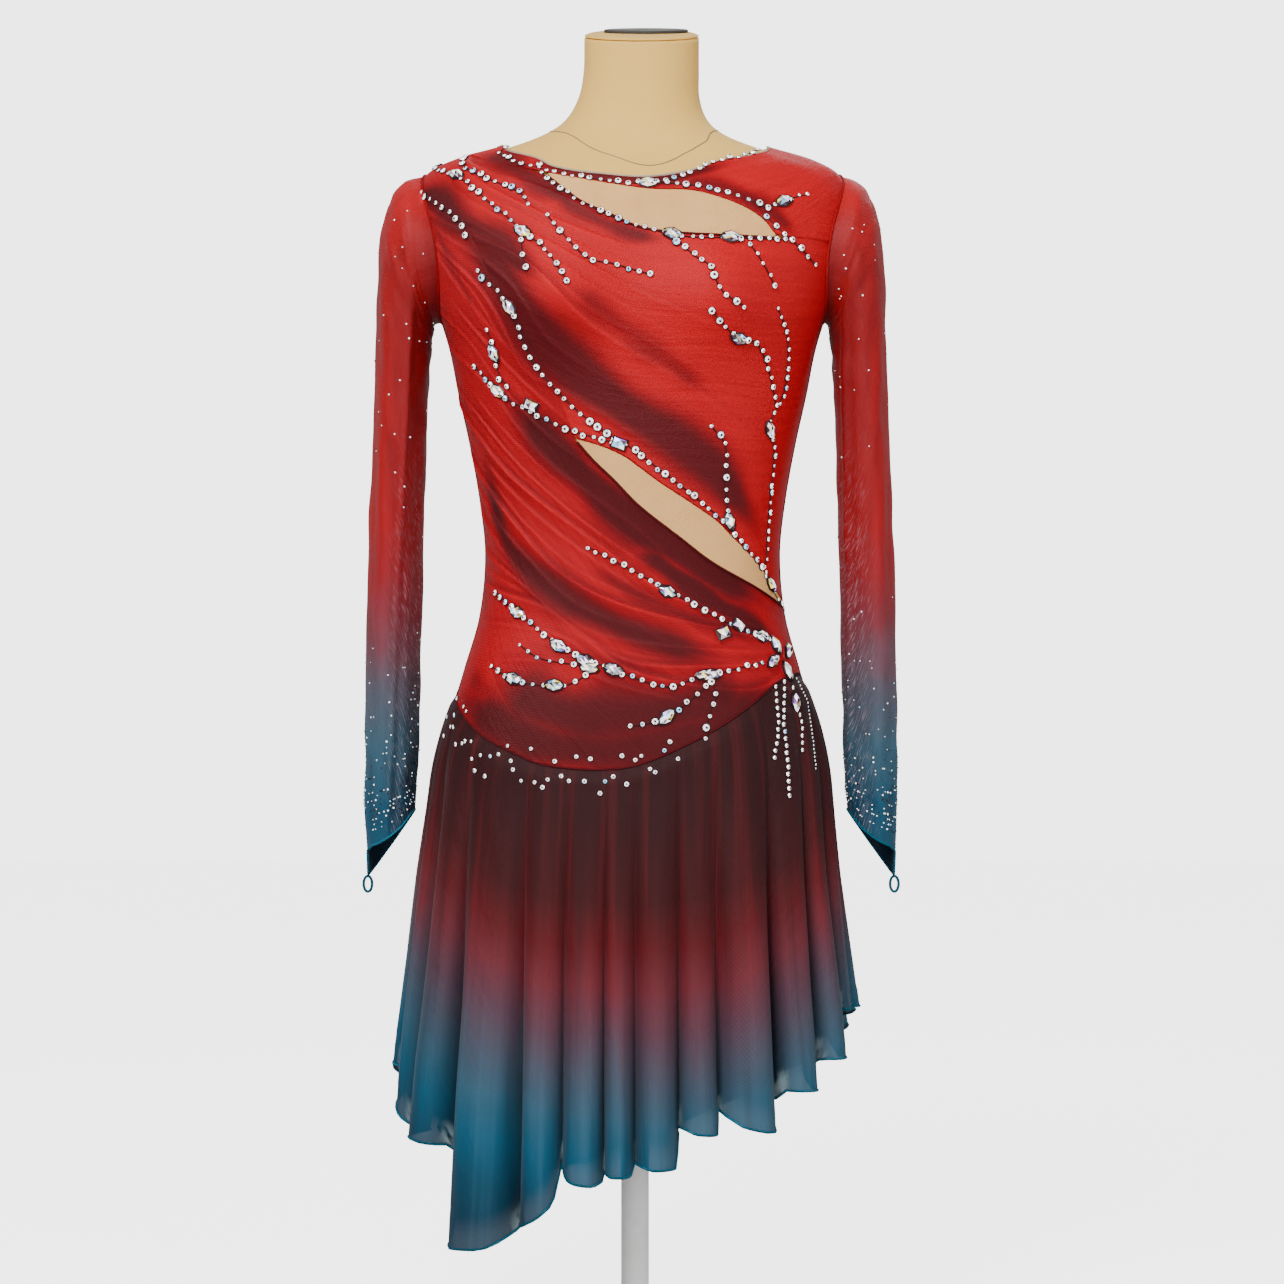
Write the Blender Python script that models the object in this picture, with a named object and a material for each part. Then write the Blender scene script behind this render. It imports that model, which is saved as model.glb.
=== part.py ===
"""Figure skating dress on a limbless dress form: cloth walls shaped on one body surface."""
import math
from collections import namedtuple

import bmesh
import bpy
from mathutils import Vector

for item in list(bpy.data.objects):
    bpy.data.objects.remove(item, do_unlink=True)

# Metres. The front faces -Y, +X is the viewer's right, and the floor is z = 0.
WALL = 0.0014
FORM_CLEARANCE = 0.0010
FORM_INSET = 0.0014
SEAM_GAP = 0.0004
LIFT = FORM_CLEARANCE + WALL / 2

# The body, from the crotch to the top of the neck. It leans a little, by its shift.
Section = namedtuple("Section", "z half_width front back squareness shift")
BODY = [
    Section(0.355, 0.0400, 0.036, 0.044, 2.0, -0.0045),
    Section(0.372, 0.0780, 0.064, 0.078, 2.0, -0.0045),
    Section(0.392, 0.1140, 0.084, 0.102, 2.1, -0.0045),
    Section(0.415, 0.1430, 0.099, 0.118, 2.2, -0.0045),
    Section(0.450, 0.1620, 0.110, 0.128, 2.3, -0.0045),
    Section(0.500, 0.1672, 0.116, 0.128, 2.3, -0.0045),
    Section(0.550, 0.1622, 0.116, 0.122, 2.3, -0.0036),
    Section(0.600, 0.1490, 0.111, 0.108, 2.3, -0.0028),
    Section(0.650, 0.1350, 0.104, 0.093, 2.2, -0.0024),
    Section(0.705, 0.1300, 0.098, 0.084, 2.2, -0.0022),
    Section(0.755, 0.1350, 0.098, 0.086, 2.2, -0.0022),
    Section(0.805, 0.1440, 0.101, 0.094, 2.3, -0.0022),
    Section(0.850, 0.1540, 0.105, 0.103, 2.4, -0.0022),
    Section(0.890, 0.1620, 0.109, 0.109, 2.5, -0.0022),
    Section(0.930, 0.1740, 0.113, 0.113, 2.6, -0.0022),
    Section(0.970, 0.1850, 0.110, 0.116, 2.6, -0.0022),
    Section(1.005, 0.1900, 0.102, 0.114, 2.6, -0.0022),
    Section(1.030, 0.1900, 0.090, 0.106, 2.5, -0.0022),
    Section(1.046, 0.1830, 0.078, 0.094, 2.4, -0.0022),
    Section(1.058, 0.1600, 0.066, 0.084, 2.3, -0.0022),
    Section(1.070, 0.1180, 0.058, 0.076, 2.2, -0.0020),
    Section(1.082, 0.0860, 0.052, 0.070, 2.1, -0.0010),
    Section(1.095, 0.0670, 0.049, 0.066, 2.0, 0.0010),
    Section(1.115, 0.0564, 0.047, 0.063, 2.0, 0.0034),
    Section(1.140, 0.0534, 0.046, 0.061, 2.0, 0.0056),
    Section(1.1725, 0.0530, 0.046, 0.061, 2.0, 0.0060),
]
TURN_LENGTH = 0.0026
BUST_OUT = 0.083
BUST_HEIGHT = 0.925
BUST_RISE = 0.022
BUST_WIDE = 0.050
BUST_TALL = 0.050

# A place on the body: degrees turned from the centre front towards +X, and height.
Place = namedtuple("Place", "turn z")
NECKLINE = [
    Place(-90, 1.0690), Place(-61, 1.0672), Place(-31, 1.0541), Place(-20, 1.0420),
    Place(-9, 1.0358), Place(4, 1.0328), Place(17, 1.0399), Place(27, 1.0505),
    Place(63, 1.0662), Place(90, 1.0690),
]
BACK_NECKLINE = [
    Place(-90, 1.0690), Place(-115, 1.0700), Place(-150, 1.0680), Place(-180, 1.0670),
    Place(-210, 1.0680), Place(-245, 1.0700), Place(-270, 1.0690),
]
YOKE_LEFT = [Place(-90, 1.0610), Place(-62, 1.0590), Place(-38, 1.0480), Place(-22, 1.0368)]
CHEST_TOP = [
    Place(-22, 1.0368), Place(-16, 1.0330), Place(-5, 1.0262), Place(5, 1.0215),
    Place(16, 1.0200), Place(26, 1.0100), Place(33, 0.9980), Place(38, 0.9825),
]
CHEST_LOW = [
    Place(-22, 1.0335), Place(-17, 1.0197), Place(-13, 1.0094), Place(-6, 0.9985),
    Place(2, 0.9868), Place(12, 0.9815), Place(22, 0.9795), Place(30, 0.9790),
    Place(38, 0.9790),
]
BAND = [
    Place(-90, 1.0530), Place(-72, 1.0500), Place(-58, 1.0370), Place(-48, 1.0080),
    Place(-43, 0.9777), Place(-39, 0.9420), Place(-33, 0.9020), Place(-26, 0.8600), Place(-20, 0.8060),
]
WAIST_TOP = [
    Place(-19, 0.8045), Place(-11, 0.7984), Place(-3, 0.7895), Place(3, 0.7790),
    Place(11, 0.7650), Place(23, 0.7474), Place(33, 0.7330), Place(40, 0.7200),
    Place(50, 0.7037), Place(60, 0.6880), Place(74, 0.6690), Place(90, 0.6600),
]
WAIST_LOW = [
    Place(-19, 0.8015), Place(-14, 0.7860), Place(-7, 0.7689), Place(3, 0.7446),
    Place(18, 0.7180), Place(32, 0.6953), Place(49, 0.6780), Place(70, 0.6620),
    Place(90, 0.6570),
]
SKIRT_SEAM_FRONT = [
    Place(-90, 0.5830), Place(-67, 0.5661), Place(-47, 0.5425), Place(-35, 0.5299),
    Place(-28, 0.5223), Place(-19, 0.5182), Place(-8, 0.5170), Place(3, 0.5215),
    Place(18, 0.5398), Place(29, 0.5561), Place(46, 0.5826), Place(57, 0.5940),
    Place(75, 0.5990), Place(90, 0.5900),
]
SKIRT_SEAM_BACK = [
    Place(-90, 0.5830), Place(-130, 0.5640), Place(-180, 0.5540), Place(-230, 0.5680),
    Place(-270, 0.5900),
]
ARMHOLE_TOP = 1.0450
ARMHOLE_BOTTOM = 0.9150
ARMHOLE_FRONT = 30.0
ARMHOLE_BACK = 27.0
ARMHOLE_STEPS = 24

# Soft ridges of the gathered cloth, by where they run on their panel.
# start, middle and end are shares of the way down the panel, from its left to its right edge.
Fold = namedtuple("Fold", "start middle end rise width fade_in fade_out")
LOWER_FOLDS = [
    Fold(0.10, 0.12, 0.10, 0.0022, 0.020, 0.02, 0.45),
    Fold(0.20, 0.17, 0.14, 0.0030, 0.020, 0.05, 0.55),
    Fold(0.30, 0.24, 0.22, 0.0026, 0.018, 0.04, 0.70),
    Fold(0.42, 0.23, 0.30, 0.0034, 0.022, 0.03, 0.97),
    Fold(0.50, 0.36, 0.42, 0.0028, 0.020, 0.03, 0.98),
    Fold(0.60, 0.50, 0.55, 0.0036, 0.022, 0.02, 0.98),
    Fold(0.72, 0.62, 0.68, 0.0026, 0.018, 0.03, 0.98),
    Fold(0.83, 0.74, 0.80, 0.0030, 0.020, 0.03, 0.95),
    Fold(0.93, 0.88, 0.90, 0.0022, 0.016, 0.05, 0.90),
]
UPPER_FOLDS = [
    Fold(0.30, 0.10, 0.10, 0.0024, 0.040, 0.06, 0.62),
    Fold(0.55, 0.30, 0.30, 0.0020, 0.045, 0.05, 0.60),
    Fold(0.70, 0.52, 0.30, 0.0028, 0.045, 0.04, 0.78),
    Fold(0.85, 0.78, 0.62, 0.0022, 0.045, 0.10, 0.80),
]

# The hem of the skirt, all round from the centre front.
HEM = [
    Place(-90, 0.2555), Place(-80, 0.2480), Place(-78, 0.2320), Place(-67, 0.1985),
    Place(-65, 0.1965), Place(-52, 0.1890), Place(-50.5, 0.1780), Place(-48.5, 0.1120),
    Place(-46, 0.1050), Place(-36, 0.1068), Place(-33, 0.1125), Place(-30, 0.1215),
    Place(-29.5, 0.1260), Place(-28, 0.1255), Place(-23, 0.1345), Place(-19.5, 0.1460),
    Place(-18, 0.1800), Place(-16.5, 0.1672), Place(-14, 0.1640), Place(-9, 0.1617),
    Place(-7, 0.1640), Place(-6.5, 0.1720), Place(-5, 0.1695), Place(1, 0.1705),
    Place(2, 0.1800), Place(3.5, 0.1790), Place(7, 0.1762), Place(13.5, 0.1757),
    Place(14.5, 0.2100), Place(16, 0.2090), Place(18, 0.2060), Place(24, 0.2046),
    Place(25, 0.2260), Place(26.5, 0.2200), Place(30, 0.2110), Place(35, 0.2065),
    Place(41, 0.2045), Place(42, 0.2300), Place(43.5, 0.2390), Place(54.5, 0.2380),
    Place(55.5, 0.2520), Place(57, 0.2625), Place(67, 0.2630), Place(68, 0.2860),
    Place(69.5, 0.3025), Place(90, 0.3010), Place(105, 0.2850), Place(118, 0.2620),
    Place(140, 0.2120), Place(160, 0.1800), Place(180, 0.1500), Place(200, 0.1260),
    Place(215, 0.1380), Place(230, 0.1650), Place(250, 0.2150), Place(262, 0.2450),
    Place(270, 0.2555),
]
# Where the skirt turns inwards between its rounded folds, all round from the left side.
VALLEYS = [
    -90.0, -79.0, -66.0, -50.5, -29.5, -18.0, -6.5, 2.0, 14.5, 25.0, 42.0, 55.5, 68.0, 79.0,
    90.0, 104.0, 120.0, 134.0, 149.0, 163.0, 178.0, 192.0, 208.0, 222.0, 238.0, 254.0, 270.0,
]
FOLD_SHARES = (0.0, 0.15, 0.5, 0.85)
HIP_Z = 0.500
FLARE = 0.085
SKIRT_LEAN = -0.0020
FOLD_DEPTH = 0.0300
FOLD_FULLNESS = 2.6
FOLD_FULL_DROP = 0.30
SKIRT_DROP = 0.0006
SKIRT_ROWS = 8

# One row per ring of a sleeve: its points nearest to the body and farthest from it,
# and half its depth from front to back.
Ring = namedtuple("Ring", "near_x near_z far_x far_z half_depth")
SLEEVE = [
    Ring(0.1770, 0.9125, 0.2045, 1.0400, 0.0610),
    Ring(0.1775, 0.9090, 0.2165, 1.0230, 0.0600),
    Ring(0.1782, 0.9020, 0.2240, 0.9980, 0.0575),
    Ring(0.1795, 0.8900, 0.2275, 0.9600, 0.0545),
    Ring(0.1815, 0.8650, 0.2290, 0.9050, 0.0520),
    Ring(0.1830, 0.8250, 0.2305, 0.8400, 0.0500),
    Ring(0.1847, 0.7750, 0.2330, 0.7800, 0.0480),
    Ring(0.1865, 0.7150, 0.2355, 0.7150, 0.0450),
    Ring(0.1885, 0.6480, 0.2375, 0.6470, 0.0415),
    Ring(0.1900, 0.5880, 0.2385, 0.5840, 0.0380),
    Ring(0.1915, 0.5340, 0.2393, 0.5240, 0.0350),
    Ring(0.1930, 0.5030, 0.2393, 0.4780, 0.0335),
    Ring(0.1945, 0.4770, 0.2365, 0.4180, 0.0310),
]
SLEEVE_SHIFT = -0.0035

BRIEF_TOP_GAP = 0.0150
BRIEFS_ROOM = 0.0034
LEG_LINE = [
    Place(-90, 0.4450), Place(-60, 0.4300), Place(-30, 0.3940), Place(0, 0.3800),
    Place(30, 0.3940), Place(60, 0.4300), Place(90, 0.4450), Place(130, 0.4050),
    Place(180, 0.3800), Place(230, 0.4050), Place(270, 0.4450),
]

LOOP_TALL = 0.0072
LOOP_WIDE = 0.0044
LOOP_CORD = 0.0008
POLE_RADIUS = 0.0125
BASE_RADIUS = 0.1550
BASE_THICK = 0.0080
# The top of the neck slopes down to the front under a low dome and a thin plate.
NECK_SLOPE = 0.25
SLOPE_FROM = 1.1150
CAP_GAP = 0.0007
CAP_HALF_WIDTH = 0.0515
CAP_HALF_DEPTH = 0.0520
CAP_MIDDLE = (0.0060, 0.0075)
CAP_RINGS = [(1.00, 0.0000), (1.00, 0.0010), (0.96, 0.0024), (0.88, 0.0035), (0.78, 0.0040)]
PLATE_HALF_WIDTH = 0.0380
PLATE_HALF_DEPTH = 0.0220
PLATE_MIDDLE = (0.0100, 0.0080)
PLATE_RINGS = [(1.00, 0.0043), (1.00, 0.0060), (0.97, 0.0066)]


def material(name, colour, roughness, metallic=0.0):
    """A plain material with one colour."""
    made = bpy.data.materials.new(name)
    made.use_nodes = True
    shader = made.node_tree.nodes["Principled BSDF"]
    shader.inputs["Base Color"].default_value = (*colour, 1.0)
    shader.inputs["Roughness"].default_value = roughness
    shader.inputs["Metallic"].default_value = metallic
    return made


RED_MESH = material("red_mesh", (0.56, 0.008, 0.012), 0.55)
DRAPE_MESH = material("drape_mesh", (0.38, 0.010, 0.014), 0.58)
NUDE_MESH = material("nude_mesh", (0.62, 0.40, 0.24), 0.60)
SLEEVE_MESH = material("sleeve_mesh", (0.42, 0.030, 0.050), 0.50)
CHIFFON = material("chiffon", (0.12, 0.045, 0.075), 0.62)
BRIEFS_KNIT = material("briefs_knit", (0.10, 0.012, 0.016), 0.60)
TEAL_ELASTIC = material("teal_elastic", (0.012, 0.110, 0.190), 0.50)
FORM_COVER = material("form_cover", (0.73, 0.60, 0.40), 0.75)
CAP_BOARD = material("cap_board", (0.020, 0.019, 0.018), 0.60)
STAND_PAINT = material("stand_paint", (0.78, 0.77, 0.74), 0.35)

collection = bpy.data.collections.new("skating_dress")
bpy.context.scene.collection.children.link(collection)


def hermite(share, before, start, end, after):
    """A smooth value between start and end, given their slopes over this gap."""
    square = share * share
    cube = square * share
    return (
        (2 * cube - 3 * square + 1) * start
        + (cube - 2 * square + share) * before
        + (3 * square - 2 * cube) * end
        + (cube - square) * after
    )


def smooth_row(rows, key, value):
    """The row at a value of its first column, smooth between the rows of a table."""
    last = len(rows) - 2
    index = 0
    while index < last and rows[index + 1][key] < value:
        index += 1
    start = rows[index]
    end = rows[index + 1]
    before = rows[max(index - 1, 0)]
    after = rows[min(index + 2, last + 1)]
    gap = end[key] - start[key]
    share = min(max((value - start[key]) / gap, 0.0), 1.0)
    found = []
    for column in range(len(start)):
        slope_in = (end[column] - before[column]) / (end[key] - before[key]) * gap
        slope_out = (after[column] - start[column]) / (after[key] - start[key]) * gap
        found.append(hermite(share, slope_in, start[column], end[column], slope_out))
    return type(start)(*found)


def height_at(rows, turn):
    """The height of a curve at a turn, straight between its places."""
    for start, end in zip(rows, rows[1:]):
        if turn <= end.turn:
            break
    share = min(max((turn - start.turn) / (end.turn - start.turn), 0.0), 1.0)
    return start.z + (end.z - start.z) * share


def body_point(turn, z):
    """A point of the form's surface."""
    section = smooth_row(BODY, 0, z)
    angle = math.radians(turn)
    across = math.sin(angle)
    ahead = math.cos(angle)
    power = section.squareness
    reach = (abs(across) ** power + abs(ahead) ** power) ** (-1 / power)
    x = section.half_width * reach * across
    if ahead <= 0:
        return Vector((x + section.shift, -section.back * reach * ahead, z))
    height = math.exp(-(((z - BUST_HEIGHT) / BUST_TALL) ** 2))
    rise = 0.0
    for side in (-1, 1):
        rise += math.exp(-(((x - side * BUST_OUT) / BUST_WIDE) ** 2))
    rise *= BUST_RISE * height * (1 - (reach * across) ** 2)
    return Vector((x + section.shift, -section.front * reach * ahead - rise, z))


def body_normal(turn, z):
    """The outward direction of the form's surface."""
    round_it = body_point(turn + 0.6, z) - body_point(turn - 0.6, z)
    up_it = body_point(turn, z + 0.0012) - body_point(turn, z - 0.0012)
    return round_it.cross(up_it).normalized()


def along(rows, count):
    """Places at even steps along a smooth curve through the rows of a table."""
    fine = []
    for index in range(len(rows) - 1):
        start = rows[index]
        end = rows[index + 1]
        before = rows[max(index - 1, 0)]
        after = rows[min(index + 2, len(rows) - 1)]
        for step in range(12):
            share = step / 12
            turn = hermite(
                share, (end.turn - before.turn) / 2, start.turn, end.turn,
                (after.turn - start.turn) / 2,
            )
            z = hermite(
                share, (end.z - before.z) / 2, start.z, end.z, (after.z - start.z) / 2
            )
            fine.append(Place(turn, z))
    fine.append(rows[-1])
    reached = [0.0]
    for start, end in zip(fine, fine[1:]):
        step = body_point(end.turn, end.z) - body_point(start.turn, start.z)
        reached.append(reached[-1] + step.length)
    found = []
    place = 0
    for index in range(count):
        target = reached[-1] * index / (count - 1)
        while place < len(fine) - 2 and reached[place + 1] < target:
            place += 1
        share = (target - reached[place]) / max(reached[place + 1] - reached[place], 1e-9)
        share = min(max(share, 0.0), 1.0)
        start = fine[place]
        end = fine[place + 1]
        found.append(
            Place(start.turn + (end.turn - start.turn) * share, start.z + (end.z - start.z) * share)
        )
    return found


def armhole(side, step):
    """A place on an armhole: step 0 is its top, and it goes round by the front."""
    angle = 2 * math.pi * step / ARMHOLE_STEPS
    middle = (ARMHOLE_TOP + ARMHOLE_BOTTOM) / 2
    z = middle + (ARMHOLE_TOP - ARMHOLE_BOTTOM) / 2 * math.cos(angle)
    swing = math.sin(angle)
    if swing >= 0:
        return Place(side * (90 - ARMHOLE_FRONT * swing), z)
    return Place(side * (90 - ARMHOLE_BACK * swing), z)


def relax(grid, rounds):
    """Even out the inner places of a grid so that its cells never fold over."""
    spots = [[Vector((place.turn * TURN_LENGTH, place.z)) for place in line] for line in grid]
    for _ in range(rounds):
        for row in range(1, len(spots) - 1):
            above = spots[row - 1]
            line = spots[row]
            below = spots[row + 1]
            for column in range(1, len(line) - 1):
                over = (line[column + 1] - line[column - 1]) / 2
                down = (below[column] - above[column]) / 2
                long = over.dot(over)
                tall = down.dot(down)
                lean = over.dot(down)
                twist = below[column + 1] - below[column - 1] - above[column + 1]
                twist = (twist + above[column - 1]) / 4
                pull = (line[column + 1] + line[column - 1]) * tall
                pull += (below[column] + above[column]) * long - twist * (2 * lean)
                line[column] = pull / (2 * (long + tall))
    return [[Place(spot.x / TURN_LENGTH, spot.y) for spot in line] for line in spots]


def patch(top, bottom, left, right, rounds=0, hold=1):
    """A grid of places that fills the space between four edges, and how far down its rows are.

    A higher hold keeps the bends of the left edge nearer to it.
    """
    rows = len(left)
    columns = len(top)
    drop = left[0].z - left[-1].z + right[0].z - right[-1].z
    grid = []
    shares = []
    for row in range(rows):
        down = (left[0].z - left[row].z + right[0].z - right[row].z) / drop
        shares.append(down)
        line = []
        for column in range(columns):
            over = column / (columns - 1)
            values = []
            for key in (0, 1):
                bend_left = left[row][key]
                bend_left -= (1 - down) * top[0][key] + down * bottom[0][key]
                bend_right = right[row][key]
                bend_right -= (1 - down) * top[-1][key] + down * bottom[-1][key]
                value = (1 - down) * top[column][key] + down * bottom[column][key]
                values.append(value + (1 - over) ** hold * bend_left + over * bend_right)
            line.append(Place(*values))
        grid.append(line)
    return relax(grid, rounds), shares


def fold_rise(folds, over, down):
    """How far the ridges lift the cloth at a place of its panel."""
    total = 0.0
    for fold in folds:
        if over < 0.5:
            line = fold.start + (fold.middle - fold.start) * over * 2
        else:
            line = fold.middle + (fold.end - fold.middle) * (over * 2 - 1)
        if over < fold.fade_in:
            strength = over / fold.fade_in
        else:
            strength = min(1.0, max(0.0, (fold.fade_out - over) / 0.25))
        if over > 0.95:
            strength *= (1 - over) / 0.05
        rise = fold.rise * strength * math.exp(-(((down - line) / fold.width) ** 2))
        total = max(total, rise)
    return total


def pull_in(grid, gap, closed):
    """Move the free edges of a grid of points back from their seams."""
    for line in (grid[0], grid[-1]):
        inner = grid[1] if line is grid[0] else grid[-2]
        for column, point in enumerate(line):
            line[column] = point + (inner[column] - point).normalized() * gap
    if closed:
        return
    for row in grid:
        row[0] = row[0] + (row[1] - row[0]).normalized() * gap
        row[-1] = row[-1] + (row[-2] - row[-1]).normalized() * gap


def grid_normals(grid, closed):
    """Directions square to a grid of points."""
    rows = len(grid)
    columns = len(grid[0])
    found = []
    for row in range(rows):
        line = []
        for column in range(columns):
            if closed:
                over = grid[row][(column + 1) % columns] - grid[row][column - 1]
            else:
                over = grid[row][min(column + 1, columns - 1)] - grid[row][max(column - 1, 0)]
            down = grid[min(row + 1, rows - 1)][column] - grid[max(row - 1, 0)][column]
            line.append(down.cross(over).normalized())
        found.append(line)
    return found


def add_mesh(name, points, faces, look):
    """A named object of the part from points and faces, in triangles."""
    mesh = bpy.data.meshes.new(name)
    mesh.from_pydata(points, [], faces)
    mesh.materials.append(look)
    build = bmesh.new()
    build.from_mesh(mesh)
    bmesh.ops.triangulate(build, faces=build.faces[:], quad_method="SHORT_EDGE")
    if build.calc_volume(signed=True) < 0:
        bmesh.ops.reverse_faces(build, faces=build.faces[:])
    build.to_mesh(mesh)
    build.free()
    made = bpy.data.objects.new(name, mesh)
    collection.objects.link(made)
    return made


def wall(name, grid, normals, look, closed=False):
    """A cloth wall of even thickness on both sides of a grid of points."""
    rows = len(grid)
    columns = len(grid[0])
    points = []
    for side in (1, -1):
        for row in range(rows):
            for column in range(columns):
                points.append(grid[row][column] + normals[row][column] * (side * WALL / 2))
    back = rows * columns
    faces = []
    last = columns if closed else columns - 1
    for row in range(rows - 1):
        for column in range(last):
            beside = (column + 1) % columns
            a = row * columns + column
            b = row * columns + beside
            c = (row + 1) * columns + beside
            d = (row + 1) * columns + column
            faces.append((a, d, c, b))
            faces.append((back + a, back + b, back + c, back + d))
    for column in range(last):
        beside = (column + 1) % columns
        low = (rows - 1) * columns
        faces.append((column, beside, back + beside, back + column))
        faces.append((low + beside, low + column, back + low + column, back + low + beside))
    if not closed:
        for row in range(rows - 1):
            a = row * columns
            b = (row + 1) * columns
            faces.append((b, a, back + a, back + b))
            a += columns - 1
            b += columns - 1
            faces.append((a, b, back + b, back + a))
    return add_mesh(name, points, faces, look)


def panel(name, places, look, folds=()):
    """A panel of cloth that lies on the body."""
    places, shares = places
    rows = len(places)
    columns = len(places[0])
    points = []
    normals = []
    for row in range(rows):
        line = []
        outward = []
        for column in range(columns):
            turn, z = places[row][column]
            direction = body_normal(turn, z)
            lift = LIFT + fold_rise(folds, column / (columns - 1), shares[row])
            line.append(body_point(turn, z) + direction * lift)
            outward.append(direction)
        points.append(line)
        normals.append(outward)
    pull_in(points, SEAM_GAP / 2, False)
    return wall(name, points, normals, look)


def side_seam(side, start, end, steps):
    """Places down a side of the body."""
    return [Place(side * 90, start + (end - start) * step / steps) for step in range(steps + 1)]


# Front and back of the bodice.
HALF = ARMHOLE_STEPS // 2
QUARTER = ARMHOLE_STEPS // 4
arm_right = [armhole(1, step) for step in range(HALF + 1)]
arm_left = [armhole(-1, step) for step in range(HALF + 1)]
yoke_left = along(YOKE_LEFT, 7)[:-1]
yoke_right = along([Place(38, 0.9808), arm_right[QUARTER]], 4)[1:]
chest_top = along(CHEST_TOP, 14)
chest_low = along(CHEST_LOW, 14)
yoke_low = yoke_left + chest_top + yoke_right
columns = len(yoke_low)
band = along(BAND, 13)[:-1]
waist_top = along(WAIST_TOP, columns - len(band))
waist_low = along(WAIST_LOW, columns - len(band))

shoulder_right = along([Place(90, 1.0690), Place(90, ARMHOLE_TOP)], 3)
right_edge = shoulder_right + arm_right[1:QUARTER + 1]
panel(
    "yoke",
    patch(
        along(NECKLINE, columns), yoke_low,
        along([Place(-90, 1.0690), YOKE_LEFT[0]], len(right_edge)), right_edge, 150,
    ),
    RED_MESH,
)

right_edge = arm_right[QUARTER:] + side_seam(1, ARMHOLE_BOTTOM, WAIST_TOP[-1].z, 8)[1:]
panel(
    "front_upper",
    patch(
        yoke_left + chest_low + yoke_right, band + waist_top,
        along([YOKE_LEFT[0], BAND[0]], len(right_edge)), right_edge, 150,
    ),
    RED_MESH,
    UPPER_FOLDS,
)

left_edge = [BAND[0]] + arm_left + side_seam(-1, ARMHOLE_BOTTOM, SKIRT_SEAM_FRONT[0].z, 14)[1:]
panel(
    "front_drape",
    patch(
        band + waist_low, along(SKIRT_SEAM_FRONT, columns), left_edge,
        along([WAIST_LOW[-1], SKIRT_SEAM_FRONT[-1]], len(left_edge)), 150, 12,
    ),
    DRAPE_MESH,
    LOWER_FOLDS,
)

panel(
    "chest_inset",
    patch(
        chest_top, chest_low, along([chest_top[0], chest_low[0]], 5),
        along([chest_top[-1], chest_low[-1]], 5),
    ),
    NUDE_MESH,
)
panel(
    "waist_inset",
    patch(
        waist_top, waist_low, along([waist_top[0], waist_low[0]], 5),
        along([waist_top[-1], waist_low[-1]], 5),
    ),
    NUDE_MESH,
)

back_left = along([Place(-90, 1.0690), Place(-90, ARMHOLE_TOP)], 3)
back_left += [armhole(-1, ARMHOLE_STEPS - step) for step in range(1, HALF + 1)]
back_left += side_seam(-1, ARMHOLE_BOTTOM, SKIRT_SEAM_BACK[0].z, 8)[1:]
back_right = along([Place(90, 1.0690), Place(90, ARMHOLE_TOP)], 3)
back_right += [armhole(1, ARMHOLE_STEPS - step) for step in range(1, HALF + 1)]
back_right += side_seam(1, ARMHOLE_BOTTOM, SKIRT_SEAM_BACK[-1].z, 8)[1:]
panel(
    "back_bodice",
    patch(
        along(BACK_NECKLINE, 18), along(SKIRT_SEAM_BACK, 18), back_left,
        [Place(place.turn - 360, place.z) for place in back_right],
    ),
    RED_MESH,
)


def sleeve_ring(side, ring):
    """The points of one ring of a sleeve, in the order of the armhole."""
    far = Vector((SLEEVE_SHIFT + side * ring.far_x, 0.0, ring.far_z))
    near = Vector((SLEEVE_SHIFT + side * ring.near_x, 0.0, ring.near_z))
    middle = (far + near) / 2
    reach = (far - near) / 2
    found = []
    for step in range(ARMHOLE_STEPS):
        angle = 2 * math.pi * step / ARMHOLE_STEPS
        point = middle + reach * math.cos(angle)
        point.y -= ring.half_depth * math.sin(angle)
        found.append(point)
    return found


for side, label in ((-1, "left"), (1, "right")):
    first = []
    for step in range(ARMHOLE_STEPS):
        place = armhole(side, step)
        point = body_point(place.turn, place.z) + body_normal(place.turn, place.z) * LIFT
        outward = abs(body_normal(place.turn, place.z).x)
        point.x += side * (SEAM_GAP + WALL * 0.55 * outward + 0.0004)
        first.append(point)
    rings = [first]
    for ring in SLEEVE:
        rings.append(sleeve_ring(side, ring))
    directions = grid_normals(rings, True)
    if side > 0:
        directions = [[-direction for direction in line] for line in directions]
    wall("sleeve_" + label, rings, directions, SLEEVE_MESH, True)

    cuff = SLEEVE[-1]
    centre_x = SLEEVE_SHIFT + side * (cuff.far_x + 0.0004)
    centre = Vector((centre_x, 0.0, cuff.far_z - LOOP_TALL - 0.0012))
    points = []
    for step in range(12):
        angle = 2 * math.pi * step / 12
        out = Vector((math.cos(angle), 0.0, math.sin(angle)))
        ring_point = centre + Vector((LOOP_WIDE * out.x, 0.0, LOOP_TALL * out.z))
        for turn in range(6):
            spin = 2 * math.pi * turn / 6
            offset = out * (LOOP_CORD * math.cos(spin))
            offset.y = LOOP_CORD * math.sin(spin)
            points.append(ring_point + offset)
    faces = []
    for step in range(12):
        for turn in range(6):
            a = step * 6 + turn
            b = step * 6 + (turn + 1) % 6
            c = (step + 1) % 12 * 6 + (turn + 1) % 6
            d = (step + 1) % 12 * 6 + turn
            faces.append((a, b, c, d))
    add_mesh("finger_loop_" + label, points, faces, TEAL_ELASTIC)


def fold_at(turn):
    """How far along its fold a turn is, and how wide that fold is in degrees."""
    index = 0
    while index < len(VALLEYS) - 2 and turn > VALLEYS[index + 1]:
        index += 1
    wide = VALLEYS[index + 1] - VALLEYS[index]
    return (turn - VALLEYS[index]) / wide, wide


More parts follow.
